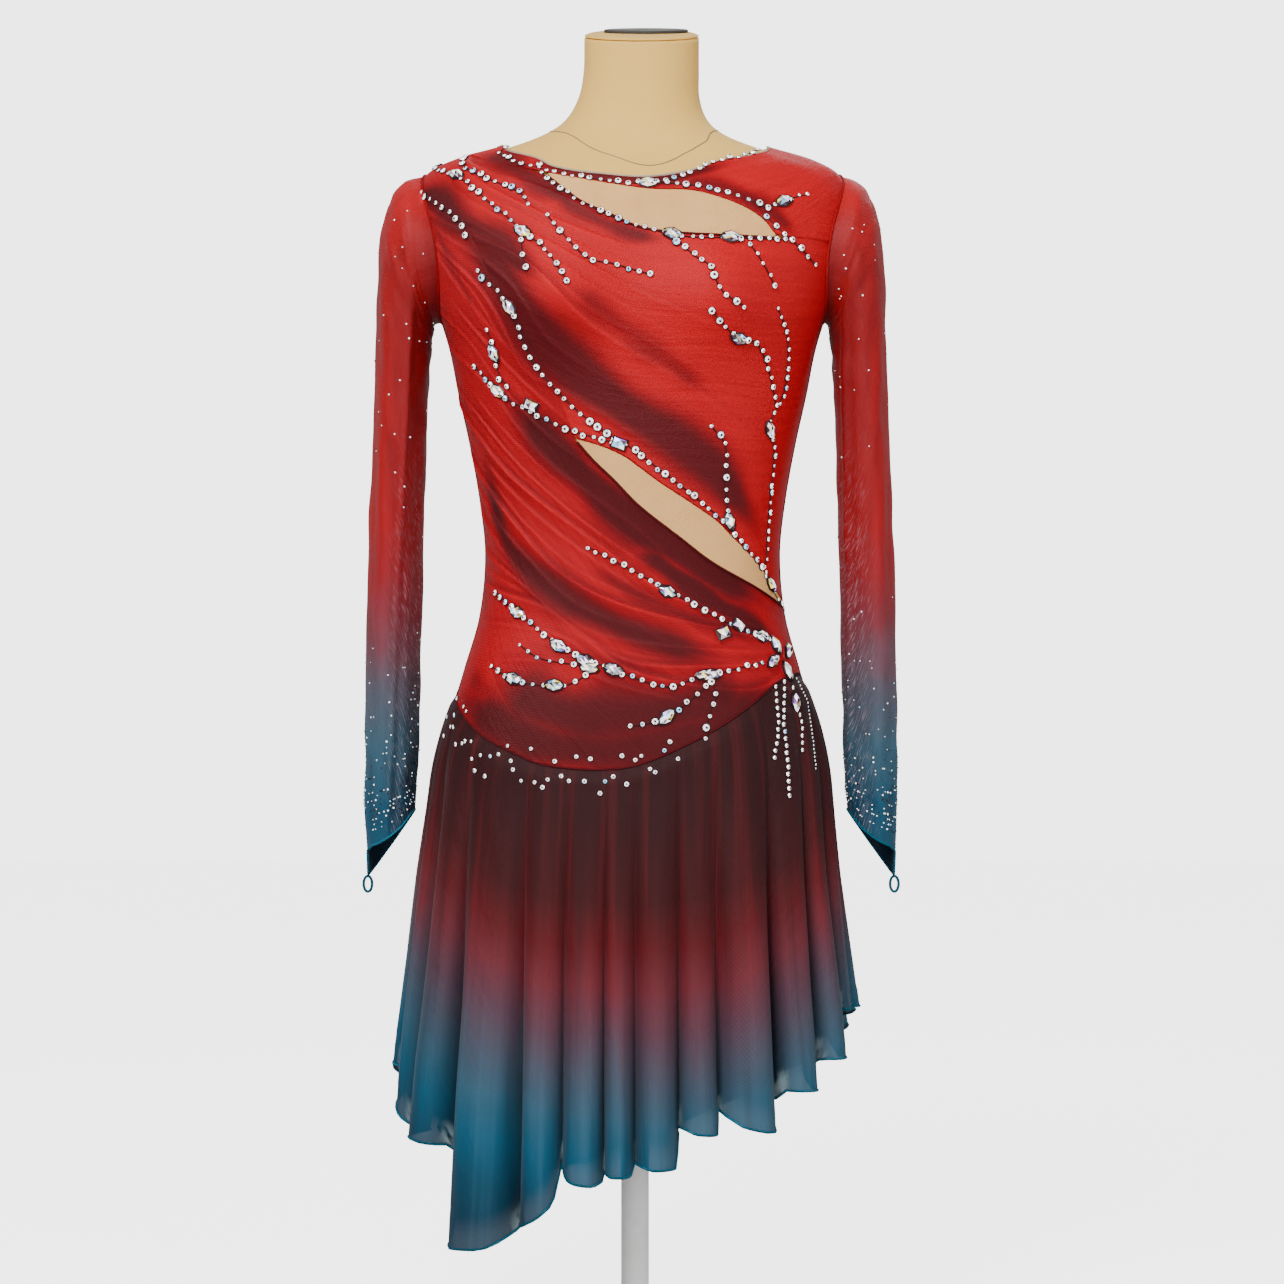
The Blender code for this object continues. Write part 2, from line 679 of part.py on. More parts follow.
def skirt_point(turn, share, seam):
    """A point of the skirt: share 0 is its seam and 1 its hem."""
    round_turn = turn if turn >= -90 else turn + 360
    top = height_at(seam, turn) - SKIRT_DROP
    z = top + (height_at(HEM, round_turn) - top) * share
    body_z = max(z, HIP_Z)
    base = body_point(turn, body_z)
    direction = body_normal(turn, body_z)
    direction.z = 0.0
    direction.normalize()
    drop = top - z
    along_fold, wide = fold_at(round_turn)
    bulge = 1 - abs(2 * along_fold - 1) ** FOLD_FULLNESS
    depth = FOLD_DEPTH * min(1.25, wide / 14) * min(1.0, drop / FOLD_FULL_DROP) ** 1.3
    out = LIFT + FLARE * drop + depth * (bulge - 0.62)
    out += BRIEFS_ROOM * min(1.0, drop / 0.010)
    lean = SKIRT_LEAN * min(1.0, max(0.0, HIP_Z - z) / 0.08)
    return Vector((base.x + lean, base.y, z)) + direction * out


seam_front = along(SKIRT_SEAM_FRONT, 91)
seam_back = list(reversed(along(SKIRT_SEAM_BACK, 91)))
side = VALLEYS.index(90.0)
for label, seam, valleys in (
    ("front", seam_front, VALLEYS[:side + 1]), ("back", seam_back, VALLEYS[side:]),
):
    turns = []
    for start, end in zip(valleys, valleys[1:]):
        turns += [start + (end - start) * share for share in FOLD_SHARES]
    turns.append(valleys[-1])
    if label == "back":
        turns = [turn - 360 for turn in reversed(turns)]
    grid = []
    for row in range(SKIRT_ROWS + 1):
        share = 0.0 if row == 0 else 0.03 + 0.97 * (row - 1) / (SKIRT_ROWS - 1)
        grid.append([skirt_point(turn, share, seam) for turn in turns])
    pull_in(grid, SEAM_GAP / 2, False)
    directions = grid_normals(grid, False)
    for line in directions:
        for end in (0, -1):
            line[end] = Vector((math.copysign(1.0, line[end].x), 0.0, 0.0))
    wall("skirt_" + label, grid, directions, CHIFFON)

# The briefs under the skirt.
top_edge = []
leg_edge = []
for step in range(24):
    turn = -90 + 360 * step / 24
    if turn <= 90:
        top_edge.append(Place(turn, height_at(seam_front, turn)))
    else:
        top_edge.append(Place(turn, height_at(seam_back, turn - 360)))
    leg_edge.append(Place(turn, height_at(LEG_LINE, turn)))
grid = []
directions = []
for row in range(8):
    share = (row / 7) ** 0.7
    line = []
    outward = []
    for upper, lower in zip(top_edge, leg_edge):
        z = upper.z - BRIEF_TOP_GAP + (lower.z - upper.z + BRIEF_TOP_GAP) * share
        direction = body_normal(upper.turn, z)
        line.append(body_point(upper.turn, z) + direction * LIFT)
        outward.append(direction)
    grid.append(line)
    directions.append(outward)
wall("briefs", grid, directions, BRIEFS_KNIT, True)

# The dress form, its cap and its stand.
FORM_STEPS = 28
levels = []
for start, end in zip(BODY, BODY[1:]):
    levels.append(start.z)
    if end.z < 0.46 or end.z > 1.0:
        levels.append((start.z + end.z) / 2)
levels.append(BODY[-1].z)
points = []
for z in levels:
    slope = NECK_SLOPE * max(0.0, z - SLOPE_FROM) / (BODY[-1].z - SLOPE_FROM)
    for step in range(FORM_STEPS):
        turn = 360 * step / FORM_STEPS
        point = body_point(turn, z) - body_normal(turn, z) * FORM_INSET
        point.z += slope * (point.y - CAP_MIDDLE[1])
        points.append(point)
faces = []
for row in range(len(levels) - 1):
    for step in range(FORM_STEPS):
        a = row * FORM_STEPS + step
        b = row * FORM_STEPS + (step + 1) % FORM_STEPS
        faces.append((a, b, b + FORM_STEPS, a + FORM_STEPS))
faces.append(tuple(reversed(range(FORM_STEPS))))
top = (len(levels) - 1) * FORM_STEPS
faces.append(tuple(range(top, top + FORM_STEPS)))
add_mesh("form_torso", points, faces, FORM_COVER)


def slab(name, half_width, half_depth, low, high, steps, look, edge=0.0):
    """An upright oval slab with softened upper edges."""
    build = bmesh.new()
    bmesh.ops.create_cone(
        build, cap_ends=True, segments=steps, radius1=1.0, radius2=1.0, depth=1.0
    )
    bmesh.ops.scale(build, vec=(half_width, half_depth, high - low), verts=build.verts[:])
    bmesh.ops.translate(build, vec=(0.0, 0.0, (high + low) / 2), verts=build.verts[:])
    if edge:
        rim = [item for item in build.edges if all(v.co.z > high - 1e-5 for v in item.verts)]
        bmesh.ops.bevel(
            build, geom=rim, offset=edge, segments=2, profile=0.5, affect="EDGES", material=-1
        )
    bmesh.ops.triangulate(build, faces=build.faces[:])
    mesh = bpy.data.meshes.new(name)
    build.to_mesh(mesh)
    build.free()
    mesh.materials.append(look)
    made = bpy.data.objects.new(name, mesh)
    collection.objects.link(made)
    return made


def sloped_dome(name, half_width, half_depth, middle, rings, steps, look):
    """A closed oval of rings, each a share of its size and a height over the neck's slope."""
    points = []
    for share, height in rings:
        for step in range(steps):
            angle = 2 * math.pi * step / steps
            x = middle[0] + half_width * share * math.sin(angle)
            y = middle[1] - half_depth * share * math.cos(angle)
            z = BODY[-1].z + CAP_GAP + NECK_SLOPE * (y - CAP_MIDDLE[1]) + height
            points.append(Vector((x, y, z)))
    faces = [tuple(reversed(range(steps)))]
    for row in range(len(rings) - 1):
        for step in range(steps):
            a = row * steps + step
            b = row * steps + (step + 1) % steps
            faces.append((a, b, b + steps, a + steps))
    last = (len(rings) - 1) * steps
    faces.append(tuple(range(last, last + steps)))
    add_mesh(name, points, faces, look)


sloped_dome("neck_cap", CAP_HALF_WIDTH, CAP_HALF_DEPTH, CAP_MIDDLE, CAP_RINGS, 28, FORM_COVER)
sloped_dome("neck_board", PLATE_HALF_WIDTH, PLATE_HALF_DEPTH, PLATE_MIDDLE, PLATE_RINGS, 24, CAP_BOARD)
slab("stand_base", BASE_RADIUS, BASE_RADIUS, 0.0, BASE_THICK, 40, STAND_PAINT, 0.003)
pole_low = BASE_THICK + 0.0003
slab("stand_pole", POLE_RADIUS, POLE_RADIUS, pole_low, BODY[0].z + 0.0006, 24, STAND_PAINT)
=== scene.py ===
"""Looks of a figure skating dress on its dress form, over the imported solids."""
import math
from collections import namedtuple

import bmesh
import bpy
import numpy as np
from mathutils import Matrix, Vector


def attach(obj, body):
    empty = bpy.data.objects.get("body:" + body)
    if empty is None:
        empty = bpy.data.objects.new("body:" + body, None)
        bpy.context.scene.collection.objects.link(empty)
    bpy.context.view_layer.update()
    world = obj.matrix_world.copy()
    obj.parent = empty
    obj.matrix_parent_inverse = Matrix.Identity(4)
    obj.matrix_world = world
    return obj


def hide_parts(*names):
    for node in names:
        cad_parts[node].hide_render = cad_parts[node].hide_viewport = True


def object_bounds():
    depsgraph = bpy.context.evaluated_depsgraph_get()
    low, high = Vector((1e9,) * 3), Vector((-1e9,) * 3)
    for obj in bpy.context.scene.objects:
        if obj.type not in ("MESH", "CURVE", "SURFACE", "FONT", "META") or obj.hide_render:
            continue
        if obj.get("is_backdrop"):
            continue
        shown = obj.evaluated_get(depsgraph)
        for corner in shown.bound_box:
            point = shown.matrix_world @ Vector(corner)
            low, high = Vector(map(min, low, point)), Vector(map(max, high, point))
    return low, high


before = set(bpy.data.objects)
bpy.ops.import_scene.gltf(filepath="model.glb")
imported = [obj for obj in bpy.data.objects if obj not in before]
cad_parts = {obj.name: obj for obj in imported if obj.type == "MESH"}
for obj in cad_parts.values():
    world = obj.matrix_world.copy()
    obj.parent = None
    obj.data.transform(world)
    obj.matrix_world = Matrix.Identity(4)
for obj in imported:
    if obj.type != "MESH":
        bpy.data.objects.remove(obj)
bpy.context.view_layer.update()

# Metres. The front faces -Y, and the floor is z = 0. These sizes are the solids' own.
WALL = 0.0014
LIFT = 0.0010 + WALL / 2
FORM_INSET = 0.0014

Section = namedtuple("Section", "z half_width front back squareness shift")
BODY = [
    Section(0.355, 0.0400, 0.036, 0.044, 2.0, -0.0045),
    Section(0.372, 0.0780, 0.064, 0.078, 2.0, -0.0045),
    Section(0.392, 0.1140, 0.084, 0.102, 2.1, -0.0045),
    Section(0.415, 0.1430, 0.099, 0.118, 2.2, -0.0045),
    Section(0.450, 0.1620, 0.110, 0.128, 2.3, -0.0045),
    Section(0.500, 0.1672, 0.116, 0.128, 2.3, -0.0045),
    Section(0.550, 0.1622, 0.116, 0.122, 2.3, -0.0036),
    Section(0.600, 0.1490, 0.111, 0.108, 2.3, -0.0028),
    Section(0.650, 0.1350, 0.104, 0.093, 2.2, -0.0024),
    Section(0.705, 0.1300, 0.098, 0.084, 2.2, -0.0022),
    Section(0.755, 0.1350, 0.098, 0.086, 2.2, -0.0022),
    Section(0.805, 0.1440, 0.101, 0.094, 2.3, -0.0022),
    Section(0.850, 0.1540, 0.105, 0.103, 2.4, -0.0022),
    Section(0.890, 0.1620, 0.109, 0.109, 2.5, -0.0022),
    Section(0.930, 0.1740, 0.113, 0.113, 2.6, -0.0022),
    Section(0.970, 0.1850, 0.110, 0.116, 2.6, -0.0022),
    Section(1.005, 0.1900, 0.102, 0.114, 2.6, -0.0022),
    Section(1.030, 0.1900, 0.090, 0.106, 2.5, -0.0022),
    Section(1.046, 0.1830, 0.078, 0.094, 2.4, -0.0022),
    Section(1.058, 0.1600, 0.066, 0.084, 2.3, -0.0022),
    Section(1.070, 0.1180, 0.058, 0.076, 2.2, -0.0020),
    Section(1.082, 0.0860, 0.052, 0.070, 2.1, -0.0010),
    Section(1.095, 0.0670, 0.049, 0.066, 2.0, 0.0010),
    Section(1.115, 0.0564, 0.047, 0.063, 2.0, 0.0034),
    Section(1.140, 0.0534, 0.046, 0.061, 2.0, 0.0056),
    Section(1.1725, 0.0530, 0.046, 0.061, 2.0, 0.0060),
]
NECK_SLOPE = 0.25
SLOPE_FROM = 1.1150
CAP_MIDDLE = (0.0060, 0.0075)
# About how far one degree of turn goes round the body.
TURN_LENGTH = 0.0026
BUST_OUT = 0.083
BUST_HEIGHT = 0.925
BUST_RISE = 0.022
BUST_WIDE = 0.050
BUST_TALL = 0.050

# Edges of the panels: degrees turned from the centre front towards +X, and height.
NECKLINE = [
    (-90, 1.0690), (-61, 1.0672), (-31, 1.0541), (-20, 1.0420), (-9, 1.0358), (4, 1.0328),
    (17, 1.0399), (27, 1.0505), (63, 1.0662), (90, 1.0690),
]
BACK_NECKLINE = [
    (-90, 1.0690), (-115, 1.0700), (-150, 1.0680), (-180, 1.0670), (-210, 1.0680),
    (-245, 1.0700), (-270, 1.0690),
]
YOKE_LEFT = [(-90, 1.0610), (-62, 1.0590), (-38, 1.0480), (-22, 1.0368)]
CHEST_TOP = [
    (-22, 1.0368), (-16, 1.0330), (-5, 1.0262), (5, 1.0215), (16, 1.0200), (26, 1.0100),
    (33, 0.9980), (38, 0.9825),
]
CHEST_LOW = [
    (-22, 1.0335), (-17, 1.0197), (-13, 1.0094), (-6, 0.9985), (2, 0.9868), (12, 0.9815),
    (22, 0.9795), (30, 0.9790), (38, 0.9790),
]
BAND = [
    (-90, 1.0530), (-72, 1.0500), (-58, 1.0370), (-48, 1.0080), (-43, 0.9777),
    (-39, 0.9420), (-33, 0.9020), (-26, 0.8600), (-20, 0.8060),
]
WAIST_TOP = [
    (-19, 0.8045), (-11, 0.7984), (-3, 0.7895), (3, 0.7790), (11, 0.7650), (23, 0.7474),
    (33, 0.7330), (40, 0.7200), (50, 0.7037), (60, 0.6880), (74, 0.6690), (90, 0.6600),
]
WAIST_LOW = [
    (-19, 0.8015), (-14, 0.7860), (-7, 0.7689), (3, 0.7446), (18, 0.7180), (32, 0.6953),
    (49, 0.6780), (70, 0.6620), (90, 0.6570),
]
SEAM_FRONT = [
    (-90, 0.5830), (-67, 0.5661), (-47, 0.5425), (-35, 0.5299), (-28, 0.5223),
    (-19, 0.5182), (-8, 0.5170), (3, 0.5215), (18, 0.5398), (29, 0.5561), (46, 0.5826),
    (57, 0.5940), (75, 0.5990), (90, 0.5900),
]
SEAM_BACK = [(-90, 0.5830), (-130, 0.5640), (-180, 0.5540), (-230, 0.5680), (-270, 0.5900)]
SHOULDER_Z = 1.0690
ARMHOLE_TOP = 1.0450
ARMHOLE_BOTTOM = 0.9150
ARMHOLE_FRONT = 30.0
ARMHOLE_BACK = 27.0
ARMHOLE_STEPS = 24

# Creases of the gathered cloth: how high and how wide each is, the share of its length over which it
# fades out, and where it runs.
Crease = namedtuple("Crease", "rise width fade_end path")
CREASES = [
    Crease(0.0017, 0.0040, 0.5, [(-58, 1.056), (-25, 1.025), (-6, 0.992), (1, 0.984)]),
    Crease(0.0020, 0.0040, 0.5, [(-52, 1.050), (-19, 0.992), (0, 0.970), (13, 0.968)]),
    Crease(0.0026, 0.0045, 0.5, [(-56, 1.038), (-25, 0.979), (-12, 0.954), (3, 0.929), (32, 0.891)]),
    Crease(0.0026, 0.0045, 0.6, [(-72, 1.020), (-33, 0.967), (-13, 0.904), (15, 0.855), (60, 0.779)]),
    Crease(0.0024, 0.0050, 0.5, [(-84, 1.030), (-46, 0.944), (-35, 0.869), (-20, 0.842), (37, 0.751)]),
    Crease(0.0030, 0.0050, 0.4, [(-66, 0.994), (-56, 0.953), (-45, 0.907), (-26, 0.844), (-15, 0.816)]),
    Crease(0.0034, 0.0050, 0.2, [(-88, 0.908), (-56, 0.866), (-41, 0.817), (-27, 0.777), (2, 0.725),
                                 (25, 0.681), (60, 0.654)]),
    Crease(0.0036, 0.0055, 0.1, [(-88, 0.854), (-66, 0.815), (-45, 0.769), (-13, 0.712), (17, 0.664),
                                 (57, 0.636)]),
    Crease(0.0032, 0.0050, 0.1, [(-88, 0.809), (-56, 0.748), (-29, 0.690), (2, 0.655), (60, 0.625)]),
    Crease(0.0034, 0.0055, 0.1, [(-88, 0.764), (-64, 0.718), (-33, 0.664), (-5, 0.629), (57, 0.616)]),
    Crease(0.0028, 0.0050, 0.1, [(-88, 0.719), (-48, 0.682), (-20, 0.638), (5, 0.607), (60, 0.609)]),
    Crease(0.0026, 0.0045, 0.1, [(-88, 0.683), (-37, 0.660), (-16, 0.629), (2, 0.600), (38, 0.585),
                                 (60, 0.602)]),
    Crease(0.0018, 0.0040, 0.4, [(-51, 0.611), (-25, 0.610), (-5, 0.590), (14, 0.577), (35, 0.566)]),
    Crease(0.0020, 0.0035, 0.1, [(2, 0.642), (19, 0.618), (36, 0.609), (60, 0.613)]),
]

# Darker dye sprayed along the drape: how wide, how strong and where.
Spray = namedtuple("Spray", "width strength path")
SPRAYS = [
    Spray(0.043, 1.00, [(-54.0, 1.022), (-41.0, 0.978), (-35.0, 0.936), (-29.5, 0.902), (-20.5, 0.870),
                        (-6.0, 0.838), (12.0, 0.808), (29.5, 0.778), (47.5, 0.738), (64.5, 0.704)]),
    Spray(0.032, 0.92, [(-88.0, 1.030), (-70.0, 1.024), (-55.5, 1.016), (-48.0, 0.998), (-38.5, 0.978),
                        (-31.0, 0.957), (-25.0, 0.930)]),
    Spray(0.020, 0.80, [(-60.0, 1.060), (-41.0, 1.054), (-31.5, 1.042), (-25.5, 1.030), (-18.0, 1.014),
                        (-11.0, 1.000)]),
    Spray(0.022, 0.55, [(-19.5, 0.950), (-10.5, 0.918), (0.0, 0.894), (13.0, 0.868), (26.5, 0.840)]),
    Spray(0.036, 1.00, [(-47.0, 0.864), (-41.0, 0.838), (-31.5, 0.808), (-19.0, 0.774), (-2.5, 0.738),
                        (18.0, 0.706), (39.5, 0.678), (64.5, 0.660)]),
    Spray(0.030, 0.86, [(-59.5, 0.816), (-61.5, 0.770), (-55.5, 0.718), (-31.0, 0.674), (-7.0, 0.644),
                        (18.5, 0.620), (39.0, 0.610)]),
    Spray(0.016, 0.75, [(-26.0, 1.044), (-16.0, 1.008), (-2.5, 0.984), (10.5, 0.974)]),
    Spray(0.013, 0.85, [(-34.0, 1.052), (-23.5, 1.044), (-15.0, 1.038), (-7.0, 1.034), (0.5, 1.031),
                        (7.5, 1.031), (14.0, 1.035), (19.0, 1.039), (30.0, 1.050)]),
    Spray(0.018, 0.72, [(8.0, 1.029), (18.0, 1.027), (29.0, 1.014), (38.0, 0.998), (46.0, 0.974)]),
    Spray(0.050, 0.88, [(-84.0, 0.592), (-46.0, 0.558), (-30.0, 0.542), (-14.0, 0.534), (4.0, 0.536),
                        (21.0, 0.550), (40.0, 0.574), (62.0, 0.594)]),
    Spray(0.024, 0.50, [(-74.0, 0.606), (-58.0, 0.588), (-40.0, 0.576), (-20.0, 0.578)]),
    Spray(0.060, 0.90, [(-56.0, 0.610), (-38.5, 0.584), (-22.0, 0.566), (-9.5, 0.562), (11.0, 0.566),
                        (33.0, 0.578), (48.0, 0.592)]),
    Spray(0.024, 0.95, [(-5.0, 0.715), (8.5, 0.698), (19.0, 0.680), (29.5, 0.664), (42.0, 0.648),
                        (54.0, 0.636), (64.0, 0.628)]),
    Spray(0.016, 0.62, [(-22.0, 0.702), (-1.0, 0.672), (17.5, 0.652), (36.5, 0.636), (51.0, 0.622)]),
    Spray(0.016, 0.45, [(-41.5, 0.628), (-19.5, 0.616), (3.0, 0.604), (22.0, 0.586)]),
    Spray(0.012, 0.45, [(-70.0, 1.030), (-58.0, 0.990), (-52.0, 0.950), (-46.0, 0.910)]),
    Spray(0.014, 0.45, [(-88.0, 0.760), (-80.0, 0.690), (-66.0, 0.640)]),
]

# The skirt: degrees and height of its hem, then the degrees of the valleys between its folds.
HEM = [
    (-90, 0.2555), (-80, 0.2480), (-78, 0.2320), (-67, 0.1985), (-65, 0.1965), (-52, 0.1890),
    (-50.5, 0.1780), (-48.5, 0.1120), (-46, 0.1050), (-36, 0.1068), (-33, 0.1125),
    (-30, 0.1215), (-29.5, 0.1260), (-28, 0.1255), (-23, 0.1345), (-19.5, 0.1460),
    (-18, 0.1800), (-16.5, 0.1672), (-14, 0.1640), (-9, 0.1617), (-7, 0.1640), (-6.5, 0.1720),
    (-5, 0.1695), (1, 0.1705), (2, 0.1800), (3.5, 0.1790), (7, 0.1762), (13.5, 0.1757),
    (14.5, 0.2100), (16, 0.2090), (18, 0.2060), (24, 0.2046), (25, 0.2260), (26.5, 0.2200),
    (30, 0.2110), (35, 0.2065), (41, 0.2045), (42, 0.2300), (43.5, 0.2390), (54.5, 0.2380),
    (55.5, 0.2520), (57, 0.2625), (67, 0.2630), (68, 0.2860), (69.5, 0.3025), (90, 0.3010),
    (105, 0.2850), (118, 0.2620), (140, 0.2120), (160, 0.1800), (180, 0.1500), (200, 0.1260),
    (215, 0.1380), (230, 0.1650), (250, 0.2150), (262, 0.2450), (270, 0.2555),
]
VALLEYS = [
    -90.0, -79.0, -66.0, -50.5, -29.5, -18.0, -6.5, 2.0, 14.5, 25.0, 42.0, 55.5, 68.0, 79.0,
    90.0, 104.0, 120.0, 134.0, 149.0, 163.0, 178.0, 192.0, 208.0, 222.0, 238.0, 254.0, 270.0,
]
HIP_Z = 0.500
FLARE = 0.085
SKIRT_LEAN = -0.0020
FOLD_DEPTH = 0.0300
FOLD_FULLNESS = 2.6
FOLD_FULL_DROP = 0.30
SKIRT_DROP = 0.0006
BRIEFS_ROOM = 0.0034
BRIEF_TOP_GAP = 0.0150
LEG_LINE = [
    (-90, 0.4450), (-60, 0.4300), (-30, 0.3940), (0, 0.3800), (30, 0.3940), (60, 0.4300),
    (90, 0.4450), (130, 0.4050), (180, 0.3800), (230, 0.4050), (270, 0.4450),
]

Ring = namedtuple("Ring", "near_x near_z far_x far_z half_depth")
SLEEVE = [
    Ring(0.1770, 0.9125, 0.2045, 1.0400, 0.0610),
    Ring(0.1775, 0.9090, 0.2165, 1.0230, 0.0600),
    Ring(0.1782, 0.9020, 0.2240, 0.9980, 0.0575),
    Ring(0.1795, 0.8900, 0.2275, 0.9600, 0.0545),
    Ring(0.1815, 0.8650, 0.2290, 0.9050, 0.0520),
    Ring(0.1830, 0.8250, 0.2305, 0.8400, 0.0500),
    Ring(0.1847, 0.7750, 0.2330, 0.7800, 0.0480),
    Ring(0.1865, 0.7150, 0.2355, 0.7150, 0.0450),
    Ring(0.1885, 0.6480, 0.2375, 0.6470, 0.0415),
    Ring(0.1900, 0.5880, 0.2385, 0.5840, 0.0380),
    Ring(0.1915, 0.5340, 0.2393, 0.5240, 0.0350),
    Ring(0.1930, 0.5030, 0.2393, 0.4780, 0.0335),
    Ring(0.1945, 0.4770, 0.2365, 0.4180, 0.0310),
]
SLEEVE_SHIFT = -0.0035

# Strands of set stones: spacing, stone radius, where the long stones sit along it, its path.
Strand = namedtuple("Strand", "pitch radius long_at path")
STRANDS = [
    Strand(0.0078, 0.0024, (0.58,), [(-53, 1.066), (-21, 1.038), (-7, 1.029), (5, 1.026), (14, 1.035),
                                     (23, 1.047), (44, 1.061)]),
    Strand(0.0078, 0.0026, (), [(6, 1.027), (17, 1.024), (27, 1.015), (35, 1.005)]),
    Strand(0.0072, 0.0021, (0.45,), [(35, 1.005), (39, 1.012), (48, 1.020)]),
    Strand(0.0082, 0.0026, (), [(35, 0.997), (41, 0.982), (54, 0.959)]),
    Strand(0.0080, 0.0024, (0.60, 0.80), [(-25, 1.043), (-20, 1.025), (-6, 0.997), (12, 0.979),
                                          (25, 0.977), (41, 0.978)]),
    Strand(0.0085, 0.0028, (), [(12, 0.974), (17, 0.960), (21, 0.951), (25, 0.930), (32, 0.918)]),
    Strand(0.0082, 0.0025, (), [(31, 0.972), (37, 0.949), (40, 0.937)]),
    Strand(0.0080, 0.0022, (0.47,), [(43, 0.918), (51, 0.892), (55, 0.850), (51, 0.819), (58, 0.790),
                                     (62, 0.713), (59, 0.694)]),
    Strand(0.0080, 0.0022, (0.10,), [(60, 0.685), (72, 0.664), (86, 0.655)]),
    Strand(0.0082, 0.0025, (0.30,), [(23, 0.913), (31, 0.893), (40, 0.884), (52, 0.835)]),
    Strand(0.0084, 0.0025, (0.97,), [(27, 0.815), (33, 0.798), (35, 0.765), (38, 0.732)]),
    Strand(0.0078, 0.0026, (), [(-2, 0.799), (15, 0.768), (33, 0.737), (49, 0.707), (60, 0.688)]),
    Strand(0.0086, 0.0028, (0.22,), [(-43, 0.951), (-35, 0.918), (-31, 0.872), (-19, 0.831),
                                     (-6, 0.803)]),
    Strand(0.0080, 0.0025, (0.25,), [(-55, 0.870), (-43, 0.842), (-24, 0.815), (-7, 0.801)]),
    Strand(0.0082, 0.0022, (0.40,), [(-45, 0.901), (-44, 0.884), (-44, 0.861), (-41, 0.851)]),
    Strand(0.0084, 0.0026, (0.27, 0.70), [(-86, 1.053), (-51, 1.038), (-35, 1.004), (-29, 0.985),
                                          (-23, 0.966), (-18, 0.938)]),
    Strand(0.0080, 0.0024, (), [(-29, 0.975), (-29, 0.960), (-28, 0.951)]),
    Strand(0.0080, 0.0025, (), [(-58, 1.056), (-31, 1.022), (-27, 1.006)]),
    Strand(0.0086, 0.0026, (), [(-22, 0.997), (-13, 0.961), (-5, 0.954), (5, 0.945)]),
    Strand(0.0092, 0.0024, (), [(-85, 1.044), (-52, 1.007), (-45, 0.982)]),
    Strand(0.0082, 0.0025, (0.42, 0.93), [(-17, 0.710), (3, 0.685), (20, 0.663), (39, 0.640),
                                          (55, 0.629)]),
    Strand(0.0084, 0.0025, (0.12, 0.30, 0.42, 0.50, 0.82), [(-60, 0.671), (-39, 0.644), (-22, 0.619),
                                                            (-6, 0.603), (11, 0.588), (22, 0.596),
                                                            (47, 0.609)]),
    Strand(0.0086, 0.0021, (), [(-41, 0.624), (-31, 0.612), (-15, 0.606)]),
    Strand(0.0084, 0.0022, (0.25, 0.68), [(-52, 0.605), (-37, 0.592), (-22, 0.589), (-12, 0.603)]),
    Strand(0.0086, 0.0024, (0.55,), [(24, 0.588), (11, 0.562), (0, 0.554)]),
    Strand(0.0086, 0.0026, (), [(26, 0.592), (27, 0.580), (24, 0.561), (22, 0.532)]),
]

# Large stones set singly: turn, height, half length, half width, slant in degrees, and its cut.
BigStone = namedtuple("BigStone", "turn z long wide slant square")
BIG_STONES = [
    BigStone(-4.5, 0.800, 0.0095, 0.0070, -20, True),
    BigStone(-33.5, 0.834, 0.0095, 0.0065, -25, True),
    BigStone(33.0, 0.634, 0.0090, 0.0075, 20, True),
    BigStone(40.0, 0.641, 0.0085, 0.0065, -40, True),
    BigStone(-14, 0.604, 0.0090, 0.0052, -8, False),
    BigStone(-6, 0.603, 0.0090, 0.0055, -28, False),
    BigStone(24, 0.598, 0.0090, 0.0050, 5, False),
    BigStone(58.0, 0.6235, 0.0096, 0.0064, -66, False),
    BigStone(67.5, 0.6185, 0.0110, 0.0052, 40, False),
    BigStone(53.0, 0.6095, 0.0105, 0.0052, 30, False),
    BigStone(61.5, 0.6010, 0.0104, 0.0066, -66, False),
]


# Smooth curves, and the body's surface.
def hermite(share, before, start, end, after):
    """A smooth value between start and end, given their slopes over this gap."""
    square = share * share
    cube = square * share
    return (
        (2 * cube - 3 * square + 1) * start
        + (cube - 2 * square + share) * before
        + (3 * square - 2 * cube) * end
        + (cube - square) * after
    )


def smooth_row(rows, value):
    """The row at a value of its first column, smooth between the rows of a table."""
    last = len(rows) - 2
    index = 0
    while index < last and rows[index + 1][0] < value:
        index += 1
    start = rows[index]
    end = rows[index + 1]
    before = rows[max(index - 1, 0)]
    after = rows[min(index + 2, last + 1)]
    gap = end[0] - start[0]
    share = min(max((value - start[0]) / gap, 0.0), 1.0)
    found = []
    for column in range(len(start)):
        slope_in = (end[column] - before[column]) / (end[0] - before[0]) * gap
        slope_out = (after[column] - start[column]) / (after[0] - start[0]) * gap
        found.append(hermite(share, slope_in, start[column], end[column], slope_out))
    return found


FINE_Z = np.linspace(BODY[0].z, BODY[-1].z, 1400)
FINE_BODY = np.array([smooth_row(BODY, z) for z in FINE_Z])


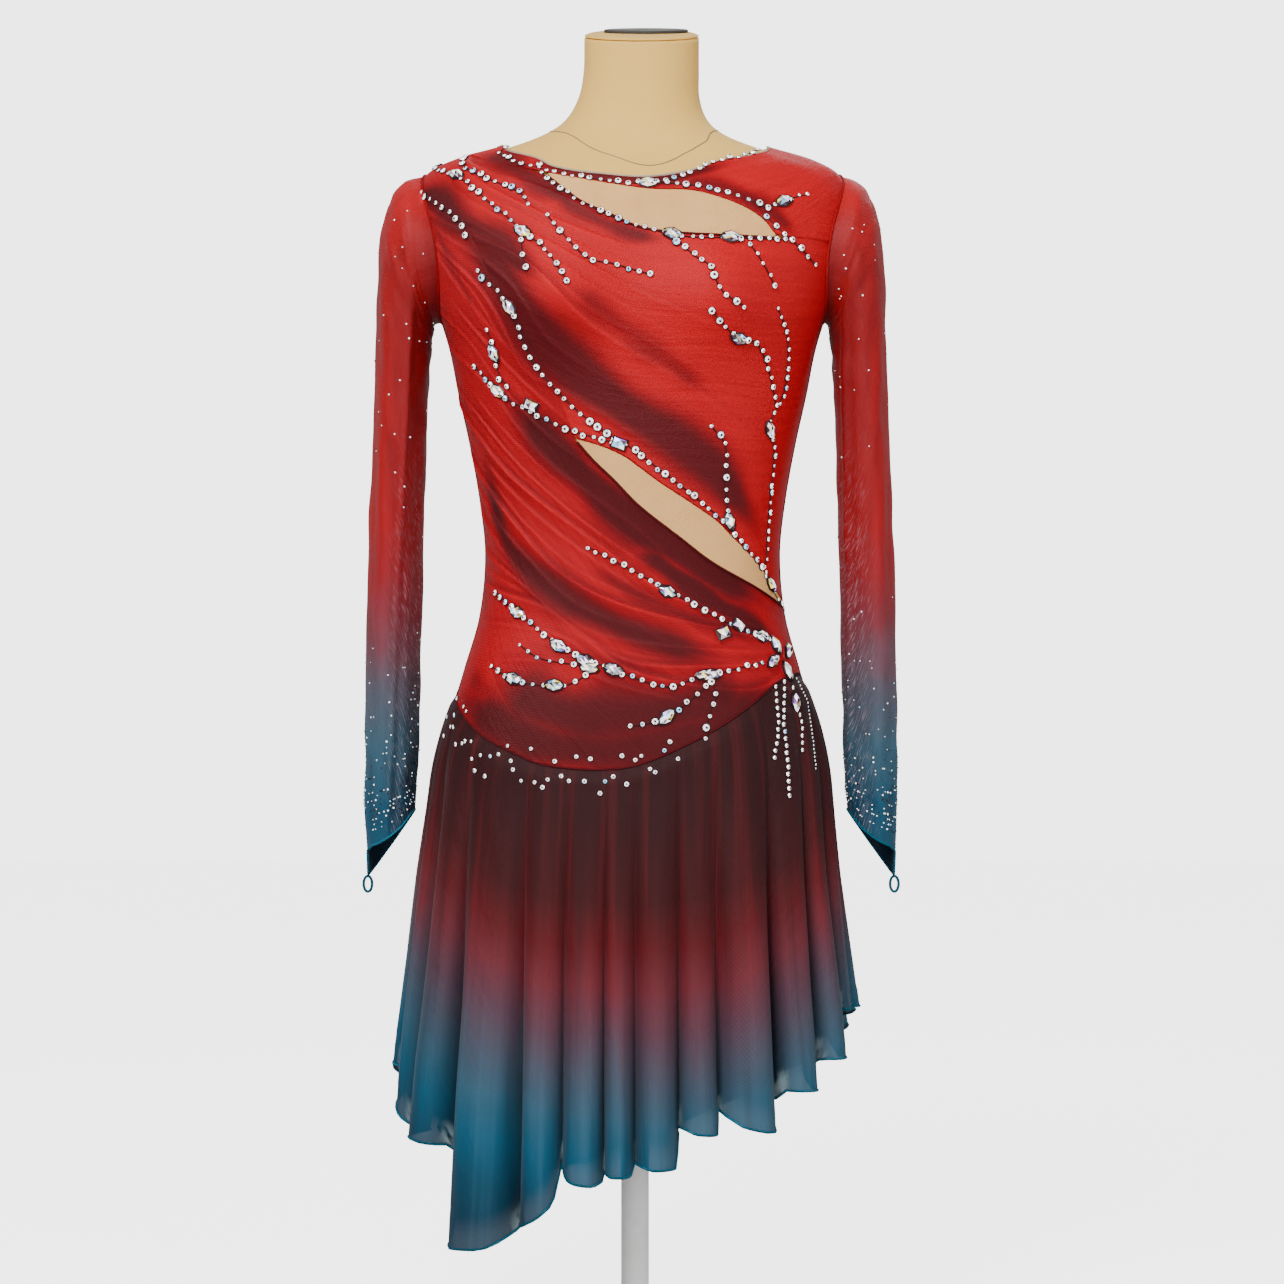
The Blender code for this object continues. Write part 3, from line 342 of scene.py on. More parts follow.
def body_points(turn, z):
    """Points of the form's surface for arrays of turns and heights."""
    turn = np.asarray(turn, dtype=float)
    z = np.asarray(z, dtype=float)
    columns = (np.interp(z, FINE_Z, FINE_BODY[:, k]) for k in range(1, 6))
    half_width, front, back, power, shift = columns
    across = np.sin(np.radians(turn))
    ahead = np.cos(np.radians(turn))
    reach = (np.abs(across) ** power + np.abs(ahead) ** power) ** (-1 / power)
    x = half_width * reach * across
    height = np.exp(-(((z - BUST_HEIGHT) / BUST_TALL) ** 2))
    rise = np.exp(-(((x - BUST_OUT) / BUST_WIDE) ** 2)) + np.exp(-(((x + BUST_OUT) / BUST_WIDE) ** 2))
    rise = BUST_RISE * rise * height * (1 - (reach * across) ** 2)
    y = np.where(ahead > 0, -front * reach * ahead - rise, -back * reach * ahead)
    return np.stack([x + shift, y, np.broadcast_to(z, x.shape)], axis=-1)


def unit(vectors):
    """Vectors of length one."""
    return vectors / np.maximum(np.linalg.norm(vectors, axis=-1, keepdims=True), 1e-12)


def body_normals(turn, z):
    """The outward directions of the form's surface."""
    round_it = body_points(turn + 0.6, z) - body_points(turn - 0.6, z)
    up_it = body_points(turn, z + 0.0012) - body_points(turn, z - 0.0012)
    return unit(np.cross(round_it, up_it))


def spline(rows, count):
    """Even steps along a smooth curve through places, as an array of turn and height."""
    rows = [np.array(row, dtype=float) for row in rows]
    fine = []
    for index in range(len(rows) - 1):
        start = rows[index]
        end = rows[index + 1]
        before = rows[max(index - 1, 0)]
        after = rows[min(index + 2, len(rows) - 1)]
        for share in np.arange(12) / 12:
            fine.append(hermite(share, (end - before) / 2, start, end, (after - start) / 2))
    fine.append(rows[-1])
    fine = np.array(fine)
    points = body_points(fine[:, 0], np.clip(fine[:, 1], BODY[0].z, BODY[-1].z))
    steps = np.linalg.norm(np.diff(points, axis=0), axis=1)
    reached = np.concatenate([[0.0], np.cumsum(steps)])
    wanted = np.linspace(0.0, reached[-1], count)
    return np.stack([np.interp(wanted, reached, fine[:, k]) for k in (0, 1)], axis=-1)


def armhole(side, steps):
    """Places on an armhole: step 0 is its top, and it goes round by the front."""
    angle = 2 * math.pi * np.asarray(steps, dtype=float) / ARMHOLE_STEPS
    z = (ARMHOLE_TOP + ARMHOLE_BOTTOM) / 2 + (ARMHOLE_TOP - ARMHOLE_BOTTOM) / 2 * np.cos(angle)
    swing = np.sin(angle)
    deep = np.where(swing >= 0, ARMHOLE_FRONT, ARMHOLE_BACK)
    return np.stack([side * (90 - deep * swing), z], axis=-1)


def relax(grid, rounds):
    """Even out the inner places of a grid so that its cells never fold over."""
    spots = grid * np.array([TURN_LENGTH, 1.0])
    for _ in range(rounds):
        over = (spots[1:-1, 2:] - spots[1:-1, :-2]) / 2
        down = (spots[2:, 1:-1] - spots[:-2, 1:-1]) / 2
        long = np.sum(over * over, axis=-1, keepdims=True)
        tall = np.sum(down * down, axis=-1, keepdims=True)
        lean = np.sum(over * down, axis=-1, keepdims=True)
        twist = (spots[2:, 2:] - spots[2:, :-2] - spots[:-2, 2:] + spots[:-2, :-2]) / 4
        pull = (spots[1:-1, 2:] + spots[1:-1, :-2]) * tall
        pull = pull + (spots[2:, 1:-1] + spots[:-2, 1:-1]) * long - twist * (2 * lean)
        spots[1:-1, 1:-1] = pull / (2 * (long + tall))
    return spots / np.array([TURN_LENGTH, 1.0])


def patch(top, bottom, left, right, rounds=0, hold=1):
    """A grid of places that fills the space between four edges.

    A high hold keeps the bends of the left edge near it.
    """
    top, bottom, left, right = (np.asarray(edge, dtype=float) for edge in (top, bottom, left, right))
    drop = left[0, 1] - left[-1, 1] + right[0, 1] - right[-1, 1]
    down = ((left[0, 1] - left[:, 1] + right[0, 1] - right[:, 1]) / drop)[:, None, None]
    over = (np.arange(len(top)) / (len(top) - 1))[None, :, None]
    bend_left = left[:, None, :] - (1 - down) * top[0] - down * bottom[0]
    bend_right = right[:, None, :] - (1 - down) * top[-1] - down * bottom[-1]
    grid = (1 - down) * top[None] + down * bottom[None]
    grid = grid + (1 - over) ** hold * bend_left + over * bend_right
    return relax(grid, rounds)


def finer(values, steps, axis):
    """An array with smooth steps added between its neighbours along one axis."""
    values = np.moveaxis(values, axis, 0)
    ahead = 2 * values[0] - values[1]
    behind = 2 * values[-1] - values[-2]
    padded = np.concatenate([ahead[None], values, behind[None]])
    found = []
    for share in np.arange(steps) / steps:
        slope_in = (padded[2:-1] - padded[:-3]) / 2
        slope_out = (padded[3:] - padded[1:-2]) / 2
        found.append(hermite(share, slope_in, padded[1:-2], padded[2:-1], slope_out))
    joined = np.stack(found, axis=1).reshape((-1,) + values.shape[1:])
    return np.moveaxis(np.concatenate([joined, values[-1:]]), 0, axis)


def curve_field(turn, z, path):
    """Distance to a curve in metres, the side it lies on, and the share along the curve."""
    line = spline(path, 60) * np.array([TURN_LENGTH, 1.0])
    spot = np.stack([turn * TURN_LENGTH, z], axis=-1)[..., None, :]
    start = line[:-1]
    run = line[1:] - start
    share = np.sum((spot - start) * run, axis=-1) / np.maximum(np.sum(run * run, axis=-1), 1e-12)
    share = np.clip(share, 0.0, 1.0)
    gap = spot - (start + share[..., None] * run)
    distance = np.linalg.norm(gap, axis=-1)
    nearest = np.argmin(distance, axis=-1)[..., None]
    side = np.sign(run[:, 0] * gap[..., 1] - run[:, 1] * gap[..., 0])
    near_share = (np.take_along_axis(share, nearest, -1) + nearest)[..., 0] / len(run)
    return (
        np.take_along_axis(distance, nearest, -1)[..., 0],
        np.take_along_axis(side, nearest, -1)[..., 0],
        near_share,
    )


def between(first, second, share):
    """A finer crease that runs between two others."""
    one = spline(first.path, 7)
    two = spline(second.path, 7)
    path = one + (two - one) * share
    path[:, 1] += 0.0020 * np.sin(np.arange(7) * 1.7 + share * 9)
    start = 0 if share > 0.4 else 1
    stop = 7 if share > 0.6 else 6
    width = min(first.width, second.width) * 0.62
    rise = 0.55 * min(first.rise, second.rise)
    return Crease(rise, width, 0.6, [tuple(spot) for spot in path[start:stop]])


def crease_fields(turn, z, creases):
    """How far the creases lift the cloth, and how strongly the painted highlight on their crests and the
    painted shade at their feet show.
    """
    total = np.zeros(turn.shape)
    crest = np.zeros(turn.shape)
    foot = np.zeros(turn.shape)
    for number, crease in enumerate(creases):
        distance, side, share = curve_field(turn, z, crease.path)
        width = crease.width * (0.78 + 0.22 * math.sin(number * 2.7)) * np.where(side > 0, 0.40, 1.3)
        strength = np.clip(share / 0.05, 0.35, 1.0) * np.clip((1 - share) / crease.fade_end, 0.0, 1.0)
        strength = strength * (0.82 + 0.18 * np.sin(share * 17 + number * 2.1))
        strength = strength * (0.74 + 0.26 * math.sin(number * 1.9 + 1.0))
        ridge = crease.rise * strength / (1 + (distance / width) ** 2)
        trough = -0.25 * crease.rise * strength * np.exp(-(((distance - 2.6 * width) / (1.4 * width)) ** 2))
        total = np.maximum(total, ridge) + trough * (total < ridge)
        full = strength * min(crease.rise / 0.0030, 1.0)
        # Painted highlight along each crest.
        crest = np.maximum(crest, full * np.exp(-((distance / 0.0010) ** 2)))
        # Painted shade along one side of each crease, partly the darker doubled cloth there.
        shadow = np.exp(-(((distance - 0.0034) / 0.0028) ** 2)) * (side > 0)
        foot = np.maximum(foot, full * shadow)
    return total, crest, foot


def ramp(value, start, length):
    """Zero up to a start, then evenly up to one over a length."""
    return np.clip((value - start) / length, 0, 1)


# Mesh making.
def placed(name, mesh, smooth=True):
    """A new object in the scene for a mesh."""
    if smooth:
        mesh.polygons.foreach_set("use_smooth", np.ones(len(mesh.polygons), dtype=bool))
    made = bpy.data.objects.new(name, mesh)
    bpy.context.scene.collection.objects.link(made)
    return made


def grid_mesh(name, points, closed=False, uv=None, **values):
    """A sheet from an array of points, top row first, with values kept at its corners."""
    rows, columns = points.shape[:2]
    build = bmesh.new()
    bmesh.ops.create_grid(build, x_segments=columns - 1, y_segments=rows - 1, size=1.0)
    mesh = bpy.data.meshes.new(name)
    build.to_mesh(mesh)
    build.free()
    flat = np.empty(len(mesh.vertices) * 3)
    mesh.vertices.foreach_get("co", flat)
    flat = flat.reshape(-1, 3)
    column = np.rint((flat[:, 0] + 1) / 2 * (columns - 1)).astype(int)
    row = rows - 1 - np.rint((flat[:, 1] + 1) / 2 * (rows - 1)).astype(int)
    mesh.vertices.foreach_set("co", points[row, column].astype(float).ravel())
    for key, array in values.items():
        layer = mesh.attributes.new(key, "FLOAT", "POINT")
        layer.data.foreach_set("value", np.asarray(array, dtype=float)[row, column])
    if uv is not None:
        corner = np.empty(len(mesh.loops), dtype=int)
        mesh.loops.foreach_get("vertex_index", corner)
        layer = mesh.uv_layers.new(name="cloth")
        layer.data.foreach_set("uv", uv[row[corner], column[corner]].ravel())
    if closed:
        build = bmesh.new()
        build.from_mesh(mesh)
        bmesh.ops.remove_doubles(build, verts=build.verts[:], dist=1e-6)
        build.to_mesh(mesh)
        build.free()
    return placed(name, mesh)


def cloth_uv(points):
    """Lengths along the rows and columns of a sheet, in metres."""
    over = np.linalg.norm(np.diff(points, axis=1), axis=-1)
    down = np.linalg.norm(np.diff(points, axis=0), axis=-1)
    u = np.concatenate([np.zeros((len(points), 1)), np.cumsum(over, axis=1)], axis=1)
    v = np.concatenate([np.zeros((1, points.shape[1])), np.cumsum(down, axis=0)], axis=0)
    return np.stack([u - u[:, u.shape[1] // 2][:, None], v], axis=-1)


def tube(name, path, radius, sides=8, closed=False, up=None):
    """A round thread or cord along a line of points."""
    path = np.asarray(path, dtype=float)
    if closed:
        ahead = np.roll(path, -1, axis=0) - np.roll(path, 1, axis=0)
    else:
        ahead = np.gradient(path, axis=0)
    ahead = unit(ahead)
    if up is None:
        up = np.broadcast_to(np.array([0.0, 0.0, 1.0]), path.shape)
    across = unit(np.cross(ahead, up))
    square = np.cross(across, ahead)
    angle = np.linspace(0, 2 * math.pi, sides + 1)
    points = path[:, None] + radius * (
        across[:, None] * np.cos(angle)[None, :, None]
        + square[:, None] * np.sin(angle)[None, :, None]
    )
    if closed:
        points = np.concatenate([points, points[:1]])
    made = grid_mesh(name, points, closed=True, uv=cloth_uv(points))
    build = bmesh.new()
    build.from_mesh(made.data)
    if not closed:
        bmesh.ops.holes_fill(build, edges=[edge for edge in build.edges if edge.is_boundary], sides=0)
    bmesh.ops.recalc_face_normals(build, faces=build.faces[:])
    build.to_mesh(made.data)
    build.free()
    return made


# A cut stone: radius and level of its rings, and the levels that tell its faces apart.
STONE_RINGS = [(1.06, 0.30), (0.84, 0.52)]
SETTING_BELOW = 0.42
FACETS_ABOVE = 0.53
TABLE_ABOVE = 0.98


def in_order(faces):
    """Faces sorted, each from its lowest corner, because a mesh's new faces come in no set order."""
    starts = [face.index(min(face)) for face in faces]
    return sorted(face[start:] + face[:start] for face, start in zip(faces, starts))


def stone_shape(sides, table, square=False, pointed=False, heart=1.0):
    """Points and faces of a stone of radius and height one, and how much painted glint each face may take.

    Rings run from the metal setting over the cut sides to the table, and heart dims the table's painted
    glint.
    """
    build = bmesh.new()
    bmesh.ops.create_circle(build, cap_ends=False, segments=sides, radius=1.0)
    edges = build.edges[:]
    for radius, level in STONE_RINGS + [(table, 1.0)]:
        made = bmesh.ops.extrude_edge_only(build, edges=edges)["geom"]
        corners = [item for item in made if isinstance(item, bmesh.types.BMVert)]
        edges = [item for item in made if isinstance(item, bmesh.types.BMEdge)]
        for corner in corners:
            scale = radius / math.hypot(corner.co.x, corner.co.y)
            corner.co = Vector((corner.co.x * scale, corner.co.y * scale, level))
    half_side = Matrix.Rotation(math.pi / sides, 3, "Z")
    bmesh.ops.rotate(build, cent=(0, 0, 0), matrix=half_side, verts=corners)
    bmesh.ops.contextual_create(build, geom=edges)
    facets = [face for face in build.faces if face.calc_center_median().z > FACETS_ABOVE]
    bmesh.ops.triangulate(build, faces=facets)
    bmesh.ops.recalc_face_normals(build, faces=build.faces[:])
    if build.faces[0].normal.dot(build.faces[0].calc_center_median()) < 0:
        bmesh.ops.reverse_faces(build, faces=build.faces[:])
    build.verts.ensure_lookup_table()
    points = np.array([corner.co[:] for corner in build.verts])
    if square:
        points = points @ np.array(Matrix.Rotation(math.pi / 4, 3, "Z"))
    if pointed:
        flat = np.maximum(np.hypot(points[:, 0], points[:, 1]), 1e-6)
        points[:, 1] *= np.abs(points[:, 1] / flat) ** 0.55
    faces = in_order([[corner.index for corner in face.verts] for face in build.faces])
    levels = np.array([points[face, 2].mean() for face in faces])
    cut = np.where(levels > TABLE_ABOVE, heart, np.where(levels > SETTING_BELOW, 1.0, 0.0))
    build.free()
    return points, faces, cut


# One row per stone: its middle, its outward direction, its long direction and its sizes.
Stone = namedtuple("Stone", "middle out along half_long half_wide high")
# Plain stones take only the first of the crystal's tints, white to blue.
PLAIN_TINTS = 0.62


def stones_mesh(name, stones, shape, seed, mixed=False):
    """One mesh of many stones. Cut faces keep a painted glint value, and settings keep zero.

    In a mixed mesh, the large stones', each face has its own colour. Otherwise each stone has one.
    """
    points, faces, cut = shape
    middle = np.array([stone.middle for stone in stones])
    out = unit(np.array([stone.out for stone in stones]))
    long = np.array([stone.along for stone in stones], dtype=float)
    long = unit(long - out * np.sum(long * out, axis=1, keepdims=True))
    wide = np.cross(out, long)
    size = np.array([[stone.half_long, stone.half_wide, stone.high] for stone in stones])
    local = points[None] * size[:, None]
    corners = middle[:, None] + local[..., :1] * long[:, None]
    corners = corners + local[..., 1:2] * wide[:, None] + local[..., 2:] * out[:, None]
    count = len(points)
    firsts = range(0, len(stones) * count, count)
    every = [[corner + first for corner in face] for first in firsts for face in faces]
    mesh = bpy.data.meshes.new(name)
    mesh.from_pydata(corners.reshape(-1, 3).tolist(), [], every)
    random = np.random.default_rng(seed)
    # A random painted glint for each face, brighter on plain stones.
    glint = random.random((len(stones), len(faces)))
    glint = (glint * 0.9 + 0.1) ** 1.35 if mixed else glint * 0.6 + 0.4
    glint = glint * cut[None]
    mesh.attributes.new("glint", "FLOAT", "FACE").data.foreach_set("value", glint.ravel())
    tint = np.repeat(random.random(len(stones)) * PLAIN_TINTS, len(faces))
    if mixed:
        tint = random.random(len(stones) * len(faces))
    mesh.attributes.new("tint", "FLOAT", "FACE").data.foreach_set("value", tint)
    return placed(name, mesh, smooth=False)


# Shading.
def ink(red, green, blue):
    """A colour as it is seen on screen, 0 to 255, in linear light."""
    found = []
    for part in (red, green, blue):
        part /= 255
        found.append(part / 12.92 if part <= 0.04045 else ((part + 0.055) / 1.055) ** 2.4)
    return (*found, 1.0)


class Number:
    """A value in a node tree that can be reckoned with."""

    def __init__(self, look, socket):
        self.look = look
        self.socket = socket

    def math(self, operation, *others):
        return self.look.math(operation, self, *others)

    def __add__(self, other):
        return self.math("ADD", other)

    def __sub__(self, other):
        return self.math("SUBTRACT", other)

    def __rsub__(self, other):
        return self.look.math("SUBTRACT", other, self)

    def __mul__(self, other):
        return self.math("MULTIPLY", other)


class Look:
    """A material with one Principled shader."""

    def __init__(self, name, roughness, **fixed):
        self.material = bpy.data.materials.new(name)
        self.material.use_nodes = True
        self.tree = self.material.node_tree
        self.shader = self.tree.nodes["Principled BSDF"]
        self.shader.inputs["Roughness"].default_value = roughness
        for key, value in fixed.items():
            self.shader.inputs[key.replace("_", " ")].default_value = value

    def link(self, value, socket):
        if isinstance(value, Number):
            self.tree.links.new(value.socket, socket)
        else:
            socket.default_value = value

    def node(self, kind, settings=None, inputs=None, output=0):
        made = self.tree.nodes.new("ShaderNode" + kind)
        for key, value in (settings or {}).items():
            setattr(made, key, value)
        for key, value in (inputs or {}).items():
            self.link(value, made.inputs[key])
        return Number(self, made.outputs[output])

    def math(self, operation, *values):
        return self.node("Math", {"operation": operation}, dict(enumerate(values)))

    def place(self):
        return self.node("TexCoord", output="Object")

    def uv(self):
        return self.node("UVMap", {"uv_map": "cloth"})

    def scaled(self, vector, scale):
        return self.node("VectorMath", {"operation": "MULTIPLY"}, {0: vector, 1: scale})

    def part(self, vector, axis):
        return self.node("SeparateXYZ", inputs={0: vector}, output=axis)

    def value(self, key):
        return self.node("Attribute", {"attribute_name": key}, output="Fac")

    def noise(self, vector, scale, detail=3.0, roughness=0.55):
        inputs = {"Vector": vector, "Scale": scale, "Detail": detail, "Roughness": roughness}
        return self.node("TexNoise", inputs=inputs)

    def smooth(self, value, low, high, start=0.0, end=1.0):
        inputs = {0: value, 1: low, 2: high, 3: start, 4: end}
        return self.node("MapRange", {"interpolation_type": "SMOOTHSTEP"}, inputs)

    def mix(self, share, first, second):
        made = self.tree.nodes.new("ShaderNodeMix")
        made.data_type = "RGBA"
        self.link(share, made.inputs[0])
        self.link(first, made.inputs[6])
        self.link(second, made.inputs[7])
        return Number(self, made.outputs[2])

    def facing(self):
        return self.node("LayerWeight", inputs={"Blend": 0.5}, output="Facing")

    def colour(self, value):
        self.link(value, self.shader.inputs["Base Color"])

    def bump(self, *layers):
        """Bumps of a height and a distance in metres, one over the other."""
        normal = None
        for height, distance in layers:
            inputs = {"Height": height, "Distance": distance}
            if normal is not None:
                inputs["Normal"] = normal
            normal = self.node("Bump", inputs=inputs)
        self.link(normal, self.shader.inputs["Normal"])

    def weave(self, size):
        """Crossed threads, from -1 to 1, on the piece's own lengths."""
        uv = self.scaled(self.uv(), (math.pi / size, math.pi / size, 1.0))
        return self.math("SINE", self.part(uv, 0)) * self.math("SINE", self.part(uv, 1))


def crinkle(look):
    """Fine drawn lines that follow the rows of the cloth."""
    return look.noise(look.scaled(look.uv(), (9.0, 120.0, 1.0)), 1.0, 3.0, 0.6)


def dyed_cloth(name, base, dark):
    """Stretch mesh over a lining, with darker dye where the shade value is high, a painted highlight on the
    crests of its creases and painted shade at their feet.
    """
    look = Look(name, 0.50, Sheen_Weight=0.03, Sheen_Roughness=0.4, Specular_IOR_Level=0.20)
    place = look.place()
    cloud = look.noise(place, 24.0, 4.0)
    shade = look.value("shade") + (cloud - 0.5) * 0.26
    shade = look.smooth(shade, 0.05, 0.92)
    lines = crinkle(look)
    tone = look.mix(look.smooth(lines, 0.30, 0.72) * 0.34, base, look.mix(0.40, base, dark))
    tone = look.mix(shade * 0.95, tone, dark)
    # Painted shade at the feet of the creases.
    tone = look.mix(look.value("foot") * 0.66, tone, look.mix(0.9, base, dark))
    # Painted highlight on the crests of the creases.
    light = look.mix(shade, ink(232, 10, 30), ink(140, 22, 32))
    tone = look.mix(look.value("crest") * 0.34, tone, light)
    fleck = look.noise(place, 2100.0, 1.0)
    look.colour(look.mix(look.smooth(fleck, 0.70, 0.82) * 0.16, tone, ink(240, 96, 96)))
    look.bump((lines, 0.0010), (look.noise(look.uv(), 260.0, 2.0), 0.0004), (look.weave(0.0011), 0.00010))
    return look.material


RED_MESH = dyed_cloth("red_mesh", ink(200, 0, 18), ink(80, 5, 13))
DRAPE_MESH = dyed_cloth("drape_mesh", ink(190, 0, 20), ink(72, 5, 13))


def nude_cloth():
    """Skin-coloured stretch mesh."""
    look = Look("nude_mesh", 0.62, Sheen_Weight=0.10, Specular_IOR_Level=0.25)
    weave = look.weave(0.0012)
    cloud = look.noise(look.place(), 40.0, 3.0)
    tone = look.mix(look.smooth(cloud, 0.3, 0.75) * 0.5, ink(248, 190, 118), ink(236, 172, 102))
    look.colour(look.mix(look.smooth(weave, -0.1, 0.9) * 0.22, tone, ink(176, 118, 76)))
    look.bump((cloud, 0.0006), (weave, 0.00012))
    return look.material


# Heights and the colours of the dye there.
SLEEVE_FADE = [
    (1.030, ink(196, 14, 24)), (0.960, ink(164, 0, 10)), (0.850, ink(172, 0, 12)),
    (0.730, ink(180, 2, 16)), (0.690, ink(168, 22, 34)), (0.647, ink(146, 50, 62)),
    (0.593, ink(100, 90, 104)), (0.539, ink(60, 100, 120)), (0.485, ink(26, 84, 112)),
]
SKIRT_FADE = [
    (0.560, ink(44, 5, 8)), (0.470, ink(50, 5, 9)), (0.400, ink(64, 8, 13)), (0.360, ink(92, 15, 23)),
    (0.323, ink(108, 38, 48)), (0.287, ink(90, 56, 70)), (0.250, ink(70, 76, 92)),
    (0.215, ink(46, 88, 110)), (0.180, ink(20, 84, 112)), (0.140, ink(10, 64, 88)), (0.105, ink(6, 52, 74)),
]


def fade(look, level, stops):
    """One colour that runs into the next as the level falls."""
    tone = stops[0][1]
    for (high, _first), (low, second) in zip(stops, stops[1:]):
        share = look.node("MapRange", inputs={0: level, 1: high, 2: low, 3: 0.0, 4: 1.0})
        tone = look.mix(share, tone, second)
    return tone


def sleeve_cloth():
    """Sheer mesh that fades from red to teal down the arm, with painted shade and painted crinkle
    highlights.
    """
    look = Look("sleeve_mesh", 0.50, Sheen_Weight=0.03, Specular_IOR_Level=0.25)
    place = look.place()
    cloud = look.noise(place, 22.0, 3.0) - 0.5
    tone = fade(look, look.value("level") + cloud * 0.05, SLEEVE_FADE)
    weave = look.weave(0.0013)
    dark = look.mix(0.72, tone, ink(20, 4, 10))
    lines = look.noise(look.scaled(look.uv(), (60.0, 15.0, 1.0)), 1.0, 3.0)
    tone = look.mix(look.smooth(weave, -0.2, 0.9) * 0.16, tone, dark)
    # Painted shade where the slack value is high: crumples, armpit and inside the cuff.
    tone = look.mix(look.value("slack"), tone, dark)
    # Painted shade on the side of the sleeve towards the body.
    tone = look.mix(look.smooth(look.value("inner"), 0.15, 0.85) * 0.55, tone, dark)
    # Painted highlights on the crinkles of the inner side, low on the sleeve.
    crinkle_highlight = look.noise(look.scaled(look.uv(), (150.0, 420.0, 1.0)), 1.0, 3.0, 0.65)
    crinkle_highlight = look.smooth(crinkle_highlight, 0.54, 0.62) * look.smooth(look.value("inner"), 0.30, 0.75)
    crinkle_highlight = crinkle_highlight * look.smooth(look.value("level"), 0.86, 0.66) * 0.34
    tone = look.mix(crinkle_highlight, tone, ink(196, 170, 182))
    look.colour(look.mix(look.smooth(lines, 0.50, 0.78) * 0.35, tone, dark))
    thin = look.smooth(look.facing(), 0.02, 0.60, 0.97, 1.0)
    # Where the painted shade is deep, the cloth is made opaque too.
    thin = look.math("MAXIMUM", thin, look.smooth(look.value("slack"), 0.45, 0.65))
    look.link(thin, look.shader.inputs["Alpha"])
    look.bump((lines, 0.0014), (weave, 0.00010))
    return look.material


def chiffon_cloth():
    """Thin dyed chiffon, from dark red through purple grey to teal, with painted shade in its folds'
    valleys and at its sides.
    """
    look = Look("chiffon", 0.60, Sheen_Weight=0.06, Sheen_Roughness=0.5, Specular_IOR_Level=0.20)
    place = look.place()
    cloud = look.noise(look.scaled(place, (1.0, 1.0, 0.45)), 16.0, 4.0) - 0.5
    level = look.value("level") + cloud * 0.035
    tone = fade(look, level, SKIRT_FADE)
    # The colour of the painted shade in the folds' valleys and at the sides.
    night = look.mix(look.smooth(level, 0.40, 0.28), ink(30, 5, 9), ink(4, 22, 36))
    tone = look.mix(look.smooth(look.value("valley"), 0.15, 1.0) * 0.72, tone, night)
    weave = look.weave(0.0010)
    around = look.node("CombineXYZ", inputs={0: look.value("around") * 0.21, 1: level * 1.6, 2: 0.0})
    streak = look.noise(around, 1.0, 3.0)
    warm = look.smooth(level, 0.32, 0.26)
    light = look.mix(0.30, tone, look.mix(warm, ink(176, 40, 52), ink(84, 142, 166)))
    tone = look.mix(look.smooth(streak, 0.50, 0.72) * 0.42, tone, light)
    tone = look.mix(look.smooth(streak, 0.50, 0.30) * 0.34, tone, night)
    tone = look.mix(look.smooth(weave, 0.0, 0.9) * 0.08, tone, night)
    under = look.noise(look.scaled(look.uv(), (60.0, 40.0, 1.0)), 1.0, 2.0)
    under = look.smooth(under, 0.40, 0.56) * look.smooth(look.value("valley"), 0.42, 0.72)
    edge = look.value("edge")
    under = under * look.smooth(edge, 0.024, 0.010) * look.smooth(edge, 0.001, 0.003)
    look.colour(look.mix(under * 0.62, tone, ink(150, 176, 182)))
    clear = look.smooth(edge, 0.030, 0.006, 0.0, 0.010)
    look.link(1.0 - clear * look.smooth(look.facing(), 0.80, 0.15), look.shader.inputs["Alpha"])
    lines = look.noise(look.scaled(look.uv(), (46.0, 7.0, 1.0)), 1.0, 3.0)
    look.bump((lines, 0.0016), (weave, 0.00008))
    return look.material


def thread(name, light, dark, size=0.0011):
    """Wound or overlocked thread along a seam."""
    look = Look(name, 0.60, Specular_IOR_Level=0.20)
    uv = look.scaled(look.uv(), (1 / size, 1 / size, 1.0))
    slant = look.math("SINE", (look.part(uv, 1) + look.part(uv, 0) * 1.3) * 6.283)
    look.colour(look.mix(look.smooth(slant, -0.7, 0.7), light, dark))
    look.bump((slant, 0.00018))
    return look.material


def knit(name, light, dark):
    """Smooth jersey."""
    look = Look(name, 0.78, Sheen_Weight=0.10, Specular_IOR_Level=0.20)
    place = look.place()
    cloud = look.noise(place, 9.0, 4.0)
    fibre = look.noise(look.scaled(place, (1.0, 1.0, 0.4)), 900.0, 2.0)
    share = look.smooth(cloud, 0.25, 0.8) * 0.6 + look.smooth(fibre, 0.35, 0.75) * 0.25
    look.colour(look.mix(share, light, dark))
    look.bump((cloud, 0.0008), (fibre, 0.00012))
    return look.material


